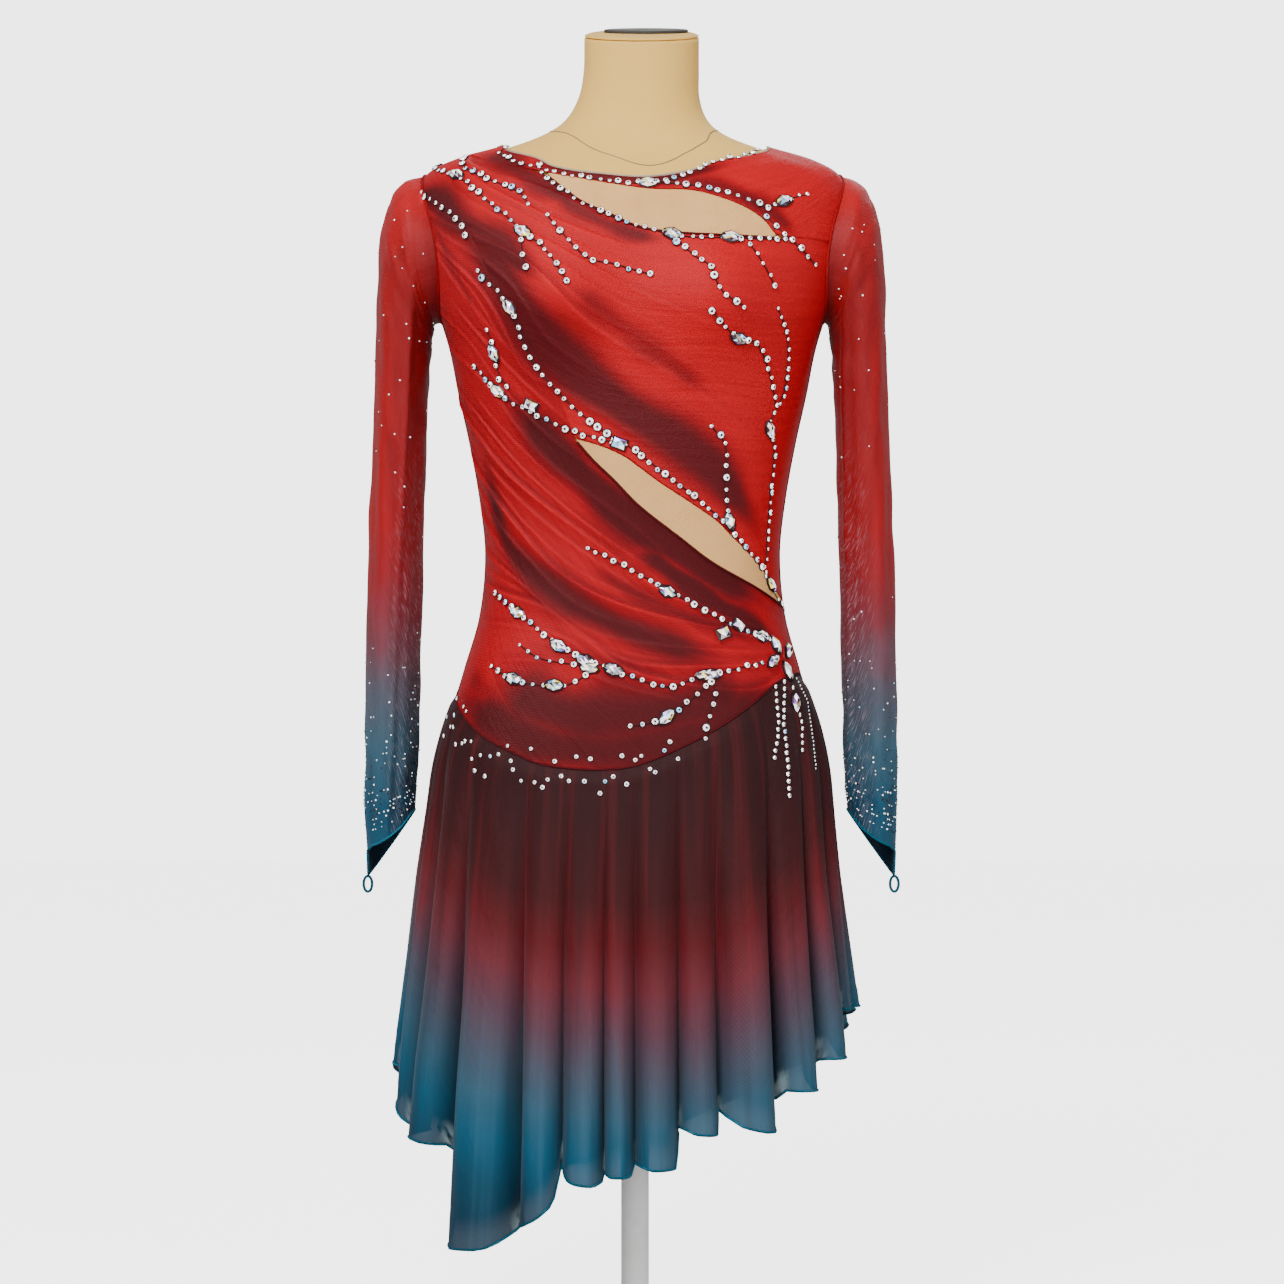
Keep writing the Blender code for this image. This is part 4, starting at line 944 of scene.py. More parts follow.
def crystal():
    """Foil-backed cut stones in dark metal settings, with painted glints that glow."""
    # Emission makes the painted glints glow, though the stones are no lamps.
    look = Look("crystal", 0.10, Specular_IOR_Level=0.8, Emission_Strength=2.10)
    glint = look.value("glint")
    tint = look.value("tint")
    cool = look.mix(look.smooth(tint, 0.50, 0.62), ink(248, 248, 246), ink(112, 194, 232))
    warm = look.mix(look.smooth(tint, 0.72, 0.78), cool, ink(230, 206, 64))
    warm = look.mix(look.smooth(tint, 0.88, 0.92), warm, ink(166, 92, 212))
    # Painted glints: faces with a low glint turn dark, high ones white.
    tone = look.mix(look.smooth(glint, 0.34, 0.14), warm, ink(84, 62, 68))
    tone = look.mix(look.smooth(glint, 0.70, 0.82), tone, ink(255, 255, 255))
    look.colour(look.mix(look.math("LESS_THAN", glint, 0.005), tone, ink(70, 52, 58)))
    look.link(look.smooth(glint, 0.0, 0.3, 0.95, 0.40), look.shader.inputs["Metallic"])
    look.link(look.smooth(glint, 0.0, 0.3, 0.30, 0.07), look.shader.inputs["Roughness"])
    glint_glow = look.mix(look.smooth(glint, 0.36, 0.80), ink(46, 44, 50), warm)
    glint_glow = look.mix(look.math("LESS_THAN", glint, 0.16), glint_glow, ink(20, 12, 16))
    glint_glow = look.mix(look.math("LESS_THAN", glint, 0.005), glint_glow, ink(0, 0, 0))
    look.link(glint_glow, look.shader.inputs["Emission Color"])
    return look.material


def paint(name, tone, roughness, metallic=0.0):
    """Painted board or metal, a little uneven."""
    look = Look(name, roughness, Metallic=metallic)
    cloud = look.noise(look.place(), 60.0, 3.0)
    look.colour(look.mix(look.smooth(cloud, 0.3, 0.7) * 0.12, tone, ink(120, 116, 110)))
    look.link(look.smooth(cloud, 0.3, 0.7, roughness, roughness + 0.12), look.shader.inputs["Roughness"])
    look.bump((look.noise(look.place(), 900.0, 2.0), 0.00005))
    return look.material


NUDE_MESH = nude_cloth()
SLEEVE_MESH = sleeve_cloth()
CHIFFON = chiffon_cloth()
BRIEFS_KNIT = knit("briefs_knit", ink(70, 14, 20), ink(42, 8, 14))
FORM_COVER = knit("form_cover", ink(253, 205, 106), ink(243, 190, 90))
RED_THREAD = thread("red_thread", ink(190, 8, 20), ink(150, 4, 14))
DARK_THREAD = thread("dark_thread", ink(120, 16, 26), ink(60, 8, 16))
STRAND_THREAD = knit("strand_thread", ink(74, 14, 20), ink(40, 8, 12))
CREAM_THREAD = thread("cream_thread", ink(226, 206, 182), ink(186, 160, 132))
TEAL_CORD = knit("teal_cord", ink(20, 84, 108), ink(12, 60, 80))
TEAL_THREAD = thread("teal_thread", ink(40, 140, 170), ink(20, 96, 124), 0.0009)
CRYSTAL = crystal()
BOARD = paint("cap_board", ink(44, 42, 42), 0.55)
STAND = paint("stand_paint", ink(254, 254, 253), 0.42)
TIP = paint("dark_cup", ink(46, 30, 36), 0.35, 0.5)


def dress(piece, look, nodes=(), wall=0.0):
    """Give a piece its look, its wall and its place in the frame."""
    piece.data.materials.append(look)
    if wall:
        thick = piece.modifiers.new("wall", "SOLIDIFY")
        thick.thickness = wall
        thick.offset = 0.0
    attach(piece, "root")
    if nodes:
        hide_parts(*nodes)
    return piece


# Panels of the bodice. Each cell of a patch is cut into FINE steps, or FINER on gathered cloth.
FINE = 6
FINER = 9
CLOTH_WALL = 0.0009
RELAX_ROUNDS = 150


def between_all(rows):
    """Finer creases between neighbours, from rows of the first one's number and a share."""
    return [between(CREASES[number], CREASES[number + 1], share) for number, share in rows]


UPPER_CREASES = CREASES[:6] + between_all(
    [(0, 0.55), (1, 0.45), (2, 0.35), (2, 0.70), (3, 0.50), (4, 0.50)]
)
ALL_CREASES = UPPER_CREASES + CREASES[6:] + between_all([
    (5, 0.35), (5, 0.70), (6, 0.34), (6, 0.68), (7, 0.38), (7, 0.72), (8, 0.50), (9, 0.36),
    (9, 0.70), (10, 0.50), (11, 0.50),
])
HALF = ARMHOLE_STEPS // 2
QUARTER = ARMHOLE_STEPS // 4
arm_right = armhole(1, np.arange(HALF + 1))
arm_left = armhole(-1, np.arange(HALF + 1))
yoke_left = spline(YOKE_LEFT, 7)[:-1]
yoke_right = spline([(38, 0.9808), arm_right[QUARTER]], 4)[1:]
chest_top = spline(CHEST_TOP, 14)
chest_low = spline(CHEST_LOW, 14)
yoke_low = np.concatenate([yoke_left, chest_top, yoke_right])
across = len(yoke_low)
band = spline(BAND, 13)[:-1]
waist_top = spline(WAIST_TOP, across - len(band))
waist_low = spline(WAIST_LOW, across - len(band))


def side_seam(side, start, end, steps):
    """Places down a side of the body."""
    z = np.linspace(start, end, steps + 1)
    return np.stack([np.full(len(z), side * 90.0), z], axis=-1)


def shade_of(turn, z):
    """How much of the darker dye lies on the cloth."""
    total = np.zeros(turn.shape)
    for number, spray in enumerate(SPRAYS):
        distance, _side, share = curve_field(turn, z, spray.path)
        ends = np.clip(share / 0.20, 0.20, 1.0) * np.clip((1 - share) / 0.16, 0.15, 1.0)
        waver = (0.55 + 0.45 * np.sin(math.pi * share)) * (1 + 0.20 * np.sin(share * 19 + number))
        spread = spray.strength * ends * np.exp(-((distance / (spray.width * 0.62 * waver)) ** 2))
        total = np.maximum(total, spread)
    return total


def body_panel(name, places, look, node, creases=(), shaded=True, slack=None, fine=FINE):
    """A fine sheet of cloth on the body, with its creases and dye."""
    places = finer(finer(places, fine, 0), fine, 1)
    turn = places[..., 0]
    z = places[..., 1]
    normals = body_normals(turn, z)
    lift = np.full(turn.shape, LIFT)
    crest = np.zeros(turn.shape)
    foot = np.zeros(turn.shape)
    if creases:
        to_edge = (np.minimum(np.arange(count), np.arange(count)[::-1]) for count in turn.shape)
        edge = np.minimum.outer(*to_edge)
        rise, crest, foot = crease_fields(turn, z, creases)
        lift = lift + rise * np.clip(edge / 3.0, 0.25, 1.0)
    if slack is not None:
        lift = lift + slack(turn, z)
    points = body_points(turn, z) + normals * lift[..., None]
    shade = shade_of(turn, z) if shaded else np.zeros(turn.shape)
    made = grid_mesh(name, points, uv=cloth_uv(points), shade=shade, crest=crest, foot=foot)
    return dress(made, look, [node], CLOTH_WALL if fine == FINE else 0.0)


def uneven(turn, z):
    """Slight slackness of cloth between its seams."""
    wave = np.sin(z * 61 + turn * 0.07) * np.sin(turn * 0.21 + z * 33)
    return 0.0004 * wave + 0.0003 * np.sin(z * 143 + turn * 0.31)


shoulder = spline([(90, SHOULDER_Z), (90, ARMHOLE_TOP)], 3)
right_edge = np.concatenate([shoulder, arm_right[1:QUARTER + 1]])
yoke = body_panel(
    "yoke_cloth",
    patch(
        spline(NECKLINE, across), yoke_low, spline([(-90, SHOULDER_Z), YOKE_LEFT[0]], len(right_edge)),
        right_edge, RELAX_ROUNDS,
    ),
    RED_MESH, "yoke", slack=uneven,
)
right_edge = np.concatenate([arm_right[QUARTER:], side_seam(1, ARMHOLE_BOTTOM, WAIST_TOP[-1][1], 8)[1:]])
upper = body_panel(
    "front_upper_cloth",
    patch(
        np.concatenate([yoke_left, chest_low, yoke_right]), np.concatenate([band, waist_top]),
        spline([YOKE_LEFT[0], BAND[0]], len(right_edge)), right_edge, RELAX_ROUNDS,
    ),
    RED_MESH, "front_upper", UPPER_CREASES, fine=FINER,
)
left_edge = np.concatenate(
    [[BAND[0]], arm_left, side_seam(-1, ARMHOLE_BOTTOM, SEAM_FRONT[0][1], 14)[1:]]
)
drape = body_panel(
    "front_drape_cloth",
    patch(
        np.concatenate([band, waist_low]), spline(SEAM_FRONT, across), left_edge,
        spline([WAIST_LOW[-1], SEAM_FRONT[-1]], len(left_edge)), RELAX_ROUNDS, 12,
    ),
    DRAPE_MESH, "front_drape", ALL_CREASES, fine=FINER,
)
for name, top, low in (("chest_inset", chest_top, chest_low), ("waist_inset", waist_top, waist_low)):
    ends = [spline([top[end], low[end]], 5) for end in (0, -1)]
    body_panel(
        name + "_cloth", patch(top, low, *ends), NUDE_MESH, name, shaded=False
    )

BACK_CREASES = [
    Crease(0.0016, 0.0050, 0.5, [(-268, 0.742), (-240, 0.722), (-205, 0.716), (-170, 0.728)]),
    Crease(0.0020, 0.0055, 0.4, [(-93, 0.700), (-125, 0.684), (-165, 0.688), (-205, 0.700)]),
    Crease(0.0018, 0.0050, 0.5, [(-266, 0.668), (-235, 0.654), (-190, 0.652), (-150, 0.662)]),
    Crease(0.0014, 0.0045, 0.5, [(-94, 0.770), (-120, 0.752), (-150, 0.748)]),
    Crease(0.0015, 0.0050, 0.5, [(-95, 0.905), (-112, 0.880), (-135, 0.868), (-160, 0.872)]),
    Crease(0.0015, 0.0050, 0.5, [(-265, 0.900), (-246, 0.872), (-220, 0.858)]),
    Crease(0.0014, 0.0045, 0.4, [(-92, 0.640), (-130, 0.626), (-170, 0.634)]),
]


def back_edge(side, end):
    """Places down a side of the back: the shoulder, the armhole and the side seam."""
    return np.concatenate([
        spline([(side * 90, SHOULDER_Z), (side * 90, ARMHOLE_TOP)], 3),
        armhole(side, ARMHOLE_STEPS - np.arange(1, HALF + 1)),
        side_seam(side, ARMHOLE_BOTTOM, end, 8)[1:],
    ])


back_places = patch(
    spline(BACK_NECKLINE, 18), spline(SEAM_BACK, 18), back_edge(-1, SEAM_BACK[0][1]),
    back_edge(1, SEAM_BACK[-1][1]) - np.array([360.0, 0.0]),
)
back = body_panel(
    "back_bodice_cloth", back_places[:, ::-1], RED_MESH, "back_bodice", BACK_CREASES
)


# Sleeves.
def sleeve_rings(side):
    """Rings of a sleeve, finer than its solid's."""
    angle = 2 * math.pi * np.arange(ARMHOLE_STEPS) / ARMHOLE_STEPS
    places = armhole(side, np.arange(ARMHOLE_STEPS))
    normals = body_normals(places[:, 0], places[:, 1])
    first = body_points(places[:, 0], places[:, 1]) + normals * LIFT
    first[:, 0] += side * (0.0008 + WALL * 0.55 * np.abs(normals[:, 0]))
    rings = [first]
    for ring in SLEEVE:
        far = np.array([SLEEVE_SHIFT + side * ring.far_x, 0.0, ring.far_z])
        near = np.array([SLEEVE_SHIFT + side * ring.near_x, 0.0, ring.near_z])
        line = (far + near) / 2 + (far - near) / 2 * np.cos(angle)[:, None]
        line[:, 1] -= ring.half_depth * np.sin(angle)
        rings.append(line)
    rings = np.array(rings)
    wrapped = np.concatenate([rings[:, -2:], rings, rings[:, :3]], axis=1)
    wrapped = finer(wrapped, 4, 1)[:, 8:8 + 4 * ARMHOLE_STEPS + 1]
    return finer(wrapped, 10, 0)


# The open cuffs, the finger loops below them and the sleeves' stones.
CUFF_LIFT = 0.026
LOOP_OUT = 0.0004
LOOP_DROP = 0.0084
LOOP_HALF_WIDTH = 0.0038
LOOP_HALF_HEIGHT = 0.0070
LOOP_RADIUS = 0.0013
LOOP_STEPS = 36
SLEEVE_STONES = 420
# The share of the places drawn above each height that get a stone.
STONES_KEPT = [(0.62, 0.035), (0.55, 0.16), (0.50, 0.45), (0.0, 1.0)]
DOTS_BELOW = 0.56


def lifted_cuff(values, angle):
    """Rows of a sleeve squeezed up the arm, so that the front of its cuff stands open near the point."""
    rows = values.shape[0]
    place = (1 + np.cos(angle)) / 2
    open_by = ramp(place, 0.24, 0.62) * ramp(1 - place, 0, 0.03)
    open_by = CUFF_LIFT * np.where(np.sin(angle) > 0, open_by, 0.0)
    row = np.arange(rows, dtype=float)[:, None]
    late = ramp(row / (rows - 1), 0.86, 0.14)
    row = row - late * open_by[None] * (rows - 1)
    low = np.clip(np.floor(row).astype(int), 0, rows - 2)
    part = (row - low)[..., None]
    column = np.arange(values.shape[1])[None]
    return values[low, column] * (1 - part) + values[low + 1, column] * part


def long_fold(height, width, angle):
    """A ridge along a sleeve, highest where the angle given is 0.9 radians."""
    return height * np.exp(-(((np.mod(angle, 2 * math.pi) - 0.9) / width) ** 2))


def sleeve_cloth_mesh(side, label):
    """A sleeve with its long folds and crumples, and its fine points and outward directions."""
    rings = sleeve_rings(side)
    rows, columns = rings.shape[:2]
    down = np.gradient(rings, axis=0)
    round_it = np.roll(rings[:, :-1], -1, axis=1) - np.roll(rings[:, :-1], 1, axis=1)
    round_it = np.concatenate([round_it, round_it[:, :1]], axis=1)
    out = unit(np.cross(down, round_it))
    middle = rings[:, :-1].mean(axis=1, keepdims=True)
    if np.sum(out * (rings - middle)) < 0:
        out = -out
    share = np.linspace(0, 1, rows)[:, None]
    angle = (2 * math.pi * np.arange(columns) / (columns - 1))[None, :]
    fold = long_fold(0.0050, 0.16, angle - 1.15 - 0.5 * share * side)
    fold = fold + long_fold(0.0034, 0.20, angle - 3.5 + 0.4 * share)
    fold = fold * ramp(share, 0.16, 0.25) * ramp(1 - share, 0, 0.06)
    crumple = np.sin(share * 47 + 2.3 * np.sin(angle * 2 + 1)) * np.sin(angle * 3 + share * 9 + side)
    crumple = crumple + 0.6 * np.sin(share * 96 + angle * 5 * side) * np.sin(angle * 2 - share * 14)
    slack = crumple * 0.0006 * ramp(share, 0, 0.12) * ramp(1 - share, 0, 0.05)
    hang = 0.0016 * np.sin(angle * 7 + 1.3 * np.sin(share * 5)) * ramp(share, 0.05, 0.5)
    hang = hang * ramp(1 - share, 0, 0.06)
    points = rings + out * (fold + slack + hang * 0.5)[..., None]
    # Painted shade where the crumpled cloth sinks in.
    shadow = np.clip(-(slack + hang * 0.5) / 0.0022, 0, 1) * 0.35
    # How near each point lies to the side towards the body, for painted shade and painted highlights there.
    reach = side * points[..., 0]
    low = reach.min(axis=1, keepdims=True)
    inner = 1 - (reach - low) / (reach.max(axis=1, keepdims=True) - low)
    # Painted shade in the armpit, on the side towards the body.
    armpit_shade = 0.75 * inner ** 1.3 * np.exp(-((share / 0.15) ** 2))
    shadow = np.maximum(shadow, armpit_shade)
    inner = inner * ramp(share, 0.05, 0.20)
    # Painted shade inside the back half of the cuff, near its rim.
    behind = ramp(share, 0.90, 0.04) * np.clip(-np.sin(angle) * 3, 0, 1)
    shadow = np.maximum(shadow, 0.90 * behind)
    points = lifted_cuff(points, angle[0])
    out = lifted_cuff(out, angle[0])
    # The slack values hold this painted shade, not slack cloth.
    made = grid_mesh(
        "sleeve_" + label + "_cloth", points, closed=True, uv=cloth_uv(points), level=points[..., 2],
        slack=lifted_cuff(shadow[..., None], angle[0])[..., 0],
        inner=lifted_cuff(inner[..., None], angle[0])[..., 0],
    )
    build = bmesh.new()
    build.from_mesh(made.data)
    middles = np.array([face.calc_center_median()[:] for face in build.faces])
    ways = np.array([face.normal[:] for face in build.faces])
    centre_x = np.interp(middles[:, 2], [0.40, 1.04], [side * 0.2150, side * 0.2000])
    if np.sum(ways[:, 0] * (middles[:, 0] - centre_x) + ways[:, 1] * middles[:, 1]) < 0:
        bmesh.ops.reverse_faces(build, faces=build.faces[:])
        build.to_mesh(made.data)
    build.free()
    return dress(made, SLEEVE_MESH, ["sleeve_" + label]), points, out


def finger_loop(side, label):
    """The elastic loop at a cuff's point."""
    cuff = SLEEVE[-1]
    middle = np.array([SLEEVE_SHIFT + side * (cuff.far_x + LOOP_OUT), 0.0, cuff.far_z - LOOP_DROP])
    angle = 2 * math.pi * np.arange(LOOP_STEPS) / LOOP_STEPS
    over = LOOP_HALF_WIDTH * np.cos(angle)
    up = LOOP_HALF_HEIGHT * np.sin(angle)
    ring = middle + np.stack([over, np.zeros(LOOP_STEPS), up], axis=-1)
    flat = np.tile([0, 1.0, 0], (LOOP_STEPS, 1))
    loop = tube("finger_loop_cord_" + label, ring, LOOP_RADIUS, 8, True, up=flat)
    return dress(loop, TEAL_CORD, ["finger_loop_" + label])


def scattered_stones(random, points, out):
    """Tiny stones over a sleeve, few at the shoulder and many at the cuff."""
    stones = []
    rows, columns = points.shape[:2]
    while len(stones) < SLEEVE_STONES:
        row = random.integers(6, rows - 3)
        column = random.integers(0, columns - 1)
        z = points[row, column, 2]
        keep = [share for above, share in STONES_KEPT if z > above][0]
        if random.random() < keep:
            spot = points[row, column] + out[row, column] * 0.0002
            size = 0.0006 + 0.0005 * random.random() ** 2
            stones.append(Stone(spot, out[row, column], (0, 0, 1), size, size, size * 0.8))
    return stones


sleeves = {}
sleeve_parts = {}
random = np.random.default_rng(11)
seed_shape = stone_shape(6, 0.55)
for side, label in ((-1, "left"), (1, "right")):
    sleeves[label], points, out = sleeve_cloth_mesh(side, label)
    binding = tube("cuff_binding_" + label, points[-1, :-1], 0.0011, 8, True)
    dress(binding, TEAL_THREAD)
    seam_line = points[0, :-1] + out[0, :-1] * 0.0004 - np.array([side * 0.0009, 0.0, 0.0])
    seam = tube("armhole_seam_" + label, seam_line, 0.0015, 8, True)
    dress(seam, RED_THREAD)
    sleeve_parts[label] = [binding, seam, finger_loop(side, label)]
    groups = {"crystals": [], "dots": []}
    for number, stone in enumerate(scattered_stones(random, points, out)):
        is_dot = stone.middle[2] < DOTS_BELOW and number % 3 == 0
        groups["dots" if is_dot else "crystals"].append(stone)
    for group, look, seed in (("crystals", CRYSTAL, 20), ("dots", TIP, 30)):
        made = stones_mesh("sleeve_" + group + "_" + label, groups[group], seed_shape, seed + side)
        sleeve_parts[label].append(dress(made, look))


# Skirt.
def skirt_points(turn, share, seam):
    """Points of the skirt for arrays of turns and shares of the way down."""
    round_turn = np.where(turn >= -90, turn, turn + 360)
    seam = np.asarray(seam)
    top = np.interp(turn, seam[:, 0], seam[:, 1]) - SKIRT_DROP
    hem = np.asarray(HEM)
    z = top + (np.interp(round_turn, hem[:, 0], hem[:, 1]) - top) * share
    body_z = np.maximum(z, HIP_Z)
    base = body_points(turn, body_z)
    way = body_normals(turn, body_z)
    way[..., 2] = 0.0
    way = unit(way)
    drop = top - z
    valleys = np.asarray(VALLEYS)
    index = np.clip(np.searchsorted(valleys, round_turn, side="left") - 1, 0, len(valleys) - 2)
    around = np.radians(round_turn)
    wide = valleys[index + 1] - valleys[index]
    along_fold = (round_turn - valleys[index]) / wide
    bulge = 1 - np.abs(2 * along_fold - 1) ** FOLD_FULLNESS
    full = np.minimum(1.0, drop / FOLD_FULL_DROP) ** 1.3
    depth = FOLD_DEPTH * np.minimum(1.25, wide / 14) * full
    out = LIFT + FLARE * drop + depth * (bulge - 0.62) + BRIEFS_ROOM * np.minimum(1.0, drop / 0.010)
    ripple = 0.0007 * np.sin(around * 41 + 3 * share) + 0.0016 * np.sin(around * 17 - 5 * share)
    out = out + ripple * full * np.where(share < 0.94, 1.0, 1.35)
    lean = SKIRT_LEAN * np.clip((HIP_Z - z) / 0.08, 0.0, 1.0)
    points = np.stack([base[..., 0] + lean, base[..., 1], z], axis=-1) + way * out[..., None]
    # Painted shade in the valleys between the folds, deeper towards the sides, and painted shade over the
    # skirt's sides.
    deep = 0.62 + 0.48 * np.clip(np.abs(round_turn) / 70, 0.0, 1.0) ** 2
    valley = (1 - bulge) * deep * np.clip(drop / 0.28, 0.0, 1.0) ** 1.2
    sides = 0.30 * np.sin(around) ** 2 * np.clip(drop / 0.16, 0.0, 1.0)
    return points, valley + sides, way


seam_front = spline(SEAM_FRONT, 91)
seam_back = spline(SEAM_BACK, 91)[::-1]
side_fold = VALLEYS.index(90.0)
# The dye fades higher up at the sides, by this much at 90 degrees.
FADE_SLOPE = -0.125
for label, seam, valleys, shift in (
    ("front", seam_front, VALLEYS[:side_fold + 1], 0), ("back", seam_back, VALLEYS[side_fold:], -360),
):
    turns = []
    for start, end in zip(valleys, valleys[1:]):
        turns += [start + (end - start) * (0.5 - 0.5 * math.cos(math.pi * k / 14)) for k in range(14)]
    turns = np.array(turns + [valleys[-1]]) + shift
    share = np.concatenate([np.linspace(0, 0.06, 7)[:-1], np.linspace(0.06, 1, 58)])
    turn, down = np.meshgrid(turns, share)
    points, valley, way = skirt_points(turn, down, seam)
    hem_z = points[-1, :, 2][None]
    level = points[..., 2] + FADE_SLOPE * np.clip(np.abs(turn + (shift != 0) * 180) / 90, 0, 1) ** 1.8
    made = grid_mesh(
        "skirt_" + label + "_cloth", points, uv=cloth_uv(points), level=level, valley=valley,
        edge=points[..., 2] - hem_z, around=turn,
    )
    dress(made, CHIFFON, ["skirt_" + label])
    hem = tube("skirt_hem_" + label, points[-1], 0.0012, 6)
    dress(hem, TEAL_THREAD)


# Briefs, form and stand.
turn = np.linspace(-90, 270, 121)
top = np.where(
    turn <= 90, np.interp(turn, seam_front[:, 0], seam_front[:, 1]),
    np.interp(turn - 360, seam_back[:, 0], seam_back[:, 1]),
)
leg = np.interp(turn, *np.array(LEG_LINE).T)
share = (np.linspace(0, 1, 40) ** 0.7)[:, None]
z = (top - BRIEF_TOP_GAP)[None] + (leg - top + BRIEF_TOP_GAP)[None] * share
turn = np.broadcast_to(turn, z.shape)
points = body_points(turn, z) + body_normals(turn, z) * LIFT
briefs = grid_mesh("briefs_cloth", points, closed=True, uv=cloth_uv(points))
dress(briefs, BRIEFS_KNIT, ["briefs"], CLOTH_WALL)
leg_elastic = tube("briefs_edge", points[-1, :-1], 0.0010, 6, True)
dress(leg_elastic, DARK_THREAD)

z = np.concatenate([np.linspace(BODY[-1].z, 1.04, 40), np.linspace(1.04, 0.47, 60)[1:],
                    np.linspace(0.47, BODY[0].z, 32)[1:]])
turn, z = np.meshgrid(np.linspace(-180, 180, 145), z)
points = body_points(turn, z) - body_normals(turn, z) * FORM_INSET
slope = NECK_SLOPE * np.clip((z - SLOPE_FROM) / (BODY[-1].z - SLOPE_FROM), 0.0, 1.0)
points[..., 2] += slope * (points[..., 1] - CAP_MIDDLE[1])
form = grid_mesh("form_cover", points, closed=True, uv=cloth_uv(points))
build = bmesh.new()
build.from_mesh(form.data)
bmesh.ops.holes_fill(build, edges=[edge for edge in build.edges if edge.is_boundary], sides=0)
build.to_mesh(form.data)
build.free()
dress(form, FORM_COVER, ["form_torso"])


def stand_round(name, radius, low, high, edge, node):
    """An upright round slab or post of the stand, with softened edges."""
    build = bmesh.new()
    bmesh.ops.create_cone(build, cap_ends=True, segments=96, radius1=1.0, radius2=1.0, depth=1.0)
    bmesh.ops.scale(build, vec=(radius, radius, high - low), verts=build.verts[:])
    bmesh.ops.translate(build, vec=(0.0, 0.0, (high + low) / 2), verts=build.verts[:])
    rims = [item for item in build.edges if abs(item.verts[0].co.z - item.verts[1].co.z) < 1e-6]
    bmesh.ops.bevel(build, geom=rims, offset=edge, segments=4, profile=0.5, affect="EDGES", material=-1)
    mesh = bpy.data.meshes.new(name)
    build.to_mesh(mesh)
    build.free()
    return dress(placed(name, mesh), STAND, [node])


def sloped_dome(name, half_width, half_depth, middle, rings, look, node):
    """A closed oval of rings, each a share of its size and a height over the neck's slope."""
    low = rings[0][1]
    high = rings[-1][1]
    rings = np.array([(0.0, low), (0.5, low)] + rings + [(0.5, high), (0.0, high)])
    angle = np.linspace(0, 2 * math.pi, 97)
    x = middle[0] + half_width * rings[:, :1] * np.sin(angle)
    y = middle[1] - half_depth * rings[:, :1] * np.cos(angle)
    z = BODY[-1].z + 0.0007 + NECK_SLOPE * (y - CAP_MIDDLE[1]) + rings[:, 1:]
    points = np.stack([x, y, z], axis=-1)
    made = grid_mesh(name, points[::-1], closed=True, uv=cloth_uv(points))
    return dress(made, look, [node])


CAP_RINGS = [
    (0.97, 0.0), (1.00, 0.0004), (1.00, 0.0010), (0.985, 0.0018), (0.95, 0.0026), (0.90, 0.0033),
    (0.84, 0.0038), (0.76, 0.0040),
]
PLATE_RINGS = [(1.00, 0.0043), (1.00, 0.0060), (0.99, 0.0064), (0.97, 0.0066)]
sloped_dome(
    "neck_cap_cover", 0.0515, 0.0520, CAP_MIDDLE, CAP_RINGS, FORM_COVER, "neck_cap"
)
sloped_dome(
    "neck_plate", 0.0380, 0.0220, (0.0100, 0.0080), PLATE_RINGS, BOARD, "neck_board"
)
stand_round("stand_plate", 0.1550, 0.0, 0.0080, 0.0030, "stand_base")
stand_round("stand_post", 0.0125, 0.0083, BODY[0].z + 0.0006, 0.0004, "stand_pole")


# Trims along the seams.
def lifted(rows, count, lift):
    """A line of points over a curve on the body, and the outward directions there."""
    places = spline(rows, count)
    normals = body_normals(places[:, 0], places[:, 1])
    return body_points(places[:, 0], places[:, 1]) + normals * lift, normals


SIDE_LEFT = [(-90, ARMHOLE_BOTTOM), SEAM_FRONT[0]]
SIDE_RIGHT = [(90, ARMHOLE_BOTTOM), SEAM_FRONT[-1]]
# Each trim's line, radius, look, slot and height over the body.
TRIM_LINES = {
    "neck_binding_front": (NECKLINE, 0.0011, CREAM_THREAD, "nude_mesh", LIFT + 0.0002),
    "neck_binding_back": (BACK_NECKLINE, 0.0011, CREAM_THREAD, "nude_mesh", LIFT + 0.0002),
    "chest_overlock": (CHEST_LOW, 0.0011, DARK_THREAD, "red_mesh", LIFT + 0.0006),
    "waist_overlock": (WAIST_LOW, 0.0012, DARK_THREAD, "drape_mesh", LIFT + 0.0006),
    "waist_upper_edge": (WAIST_TOP, 0.0007, RED_THREAD, "red_mesh", LIFT + 0.0004),
    "chest_upper_edge": (CHEST_TOP, 0.0007, RED_THREAD, "red_mesh", LIFT + 0.0004),
    "skirt_seam_front": (SEAM_FRONT, 0.0009, DARK_THREAD, "drape_mesh", LIFT + 0.0004),
    "skirt_seam_back": (SEAM_BACK, 0.0009, DARK_THREAD, "red_mesh", LIFT + 0.0004),
    "side_seam_left": (SIDE_LEFT, 0.0006, RED_THREAD, "drape_mesh", LIFT + 0.0006),
    "side_seam_right": (SIDE_RIGHT, 0.0006, RED_THREAD, "red_mesh", LIFT + 0.0006),
}
for name, (rows, radius, look, slot_name, lift) in TRIM_LINES.items():
    line, normals = lifted(rows, 150, lift)
    dress(tube(name, line, radius, 6, up=normals), look)

NECK_SEAM = [(-180, 1.086), (-120, 1.090), (-60, 1.084), (-31, 1.076), (-8, 1.058), (5, 1.046),
             (18, 1.060), (33, 1.071), (60, 1.084), (120, 1.090), (180, 1.086)]
line, normals = lifted(NECK_SEAM, 200, -FORM_INSET)
form_seam = tube("form_neck_seam", line[:-1], 0.0006, 6, True, normals[:-1])
dress(form_seam, thread("form_thread", ink(196, 176, 136), ink(150, 128, 92)))


# Stones.
STONE_LIFT = 0.0005
STONE_HEIGHT = 0.85
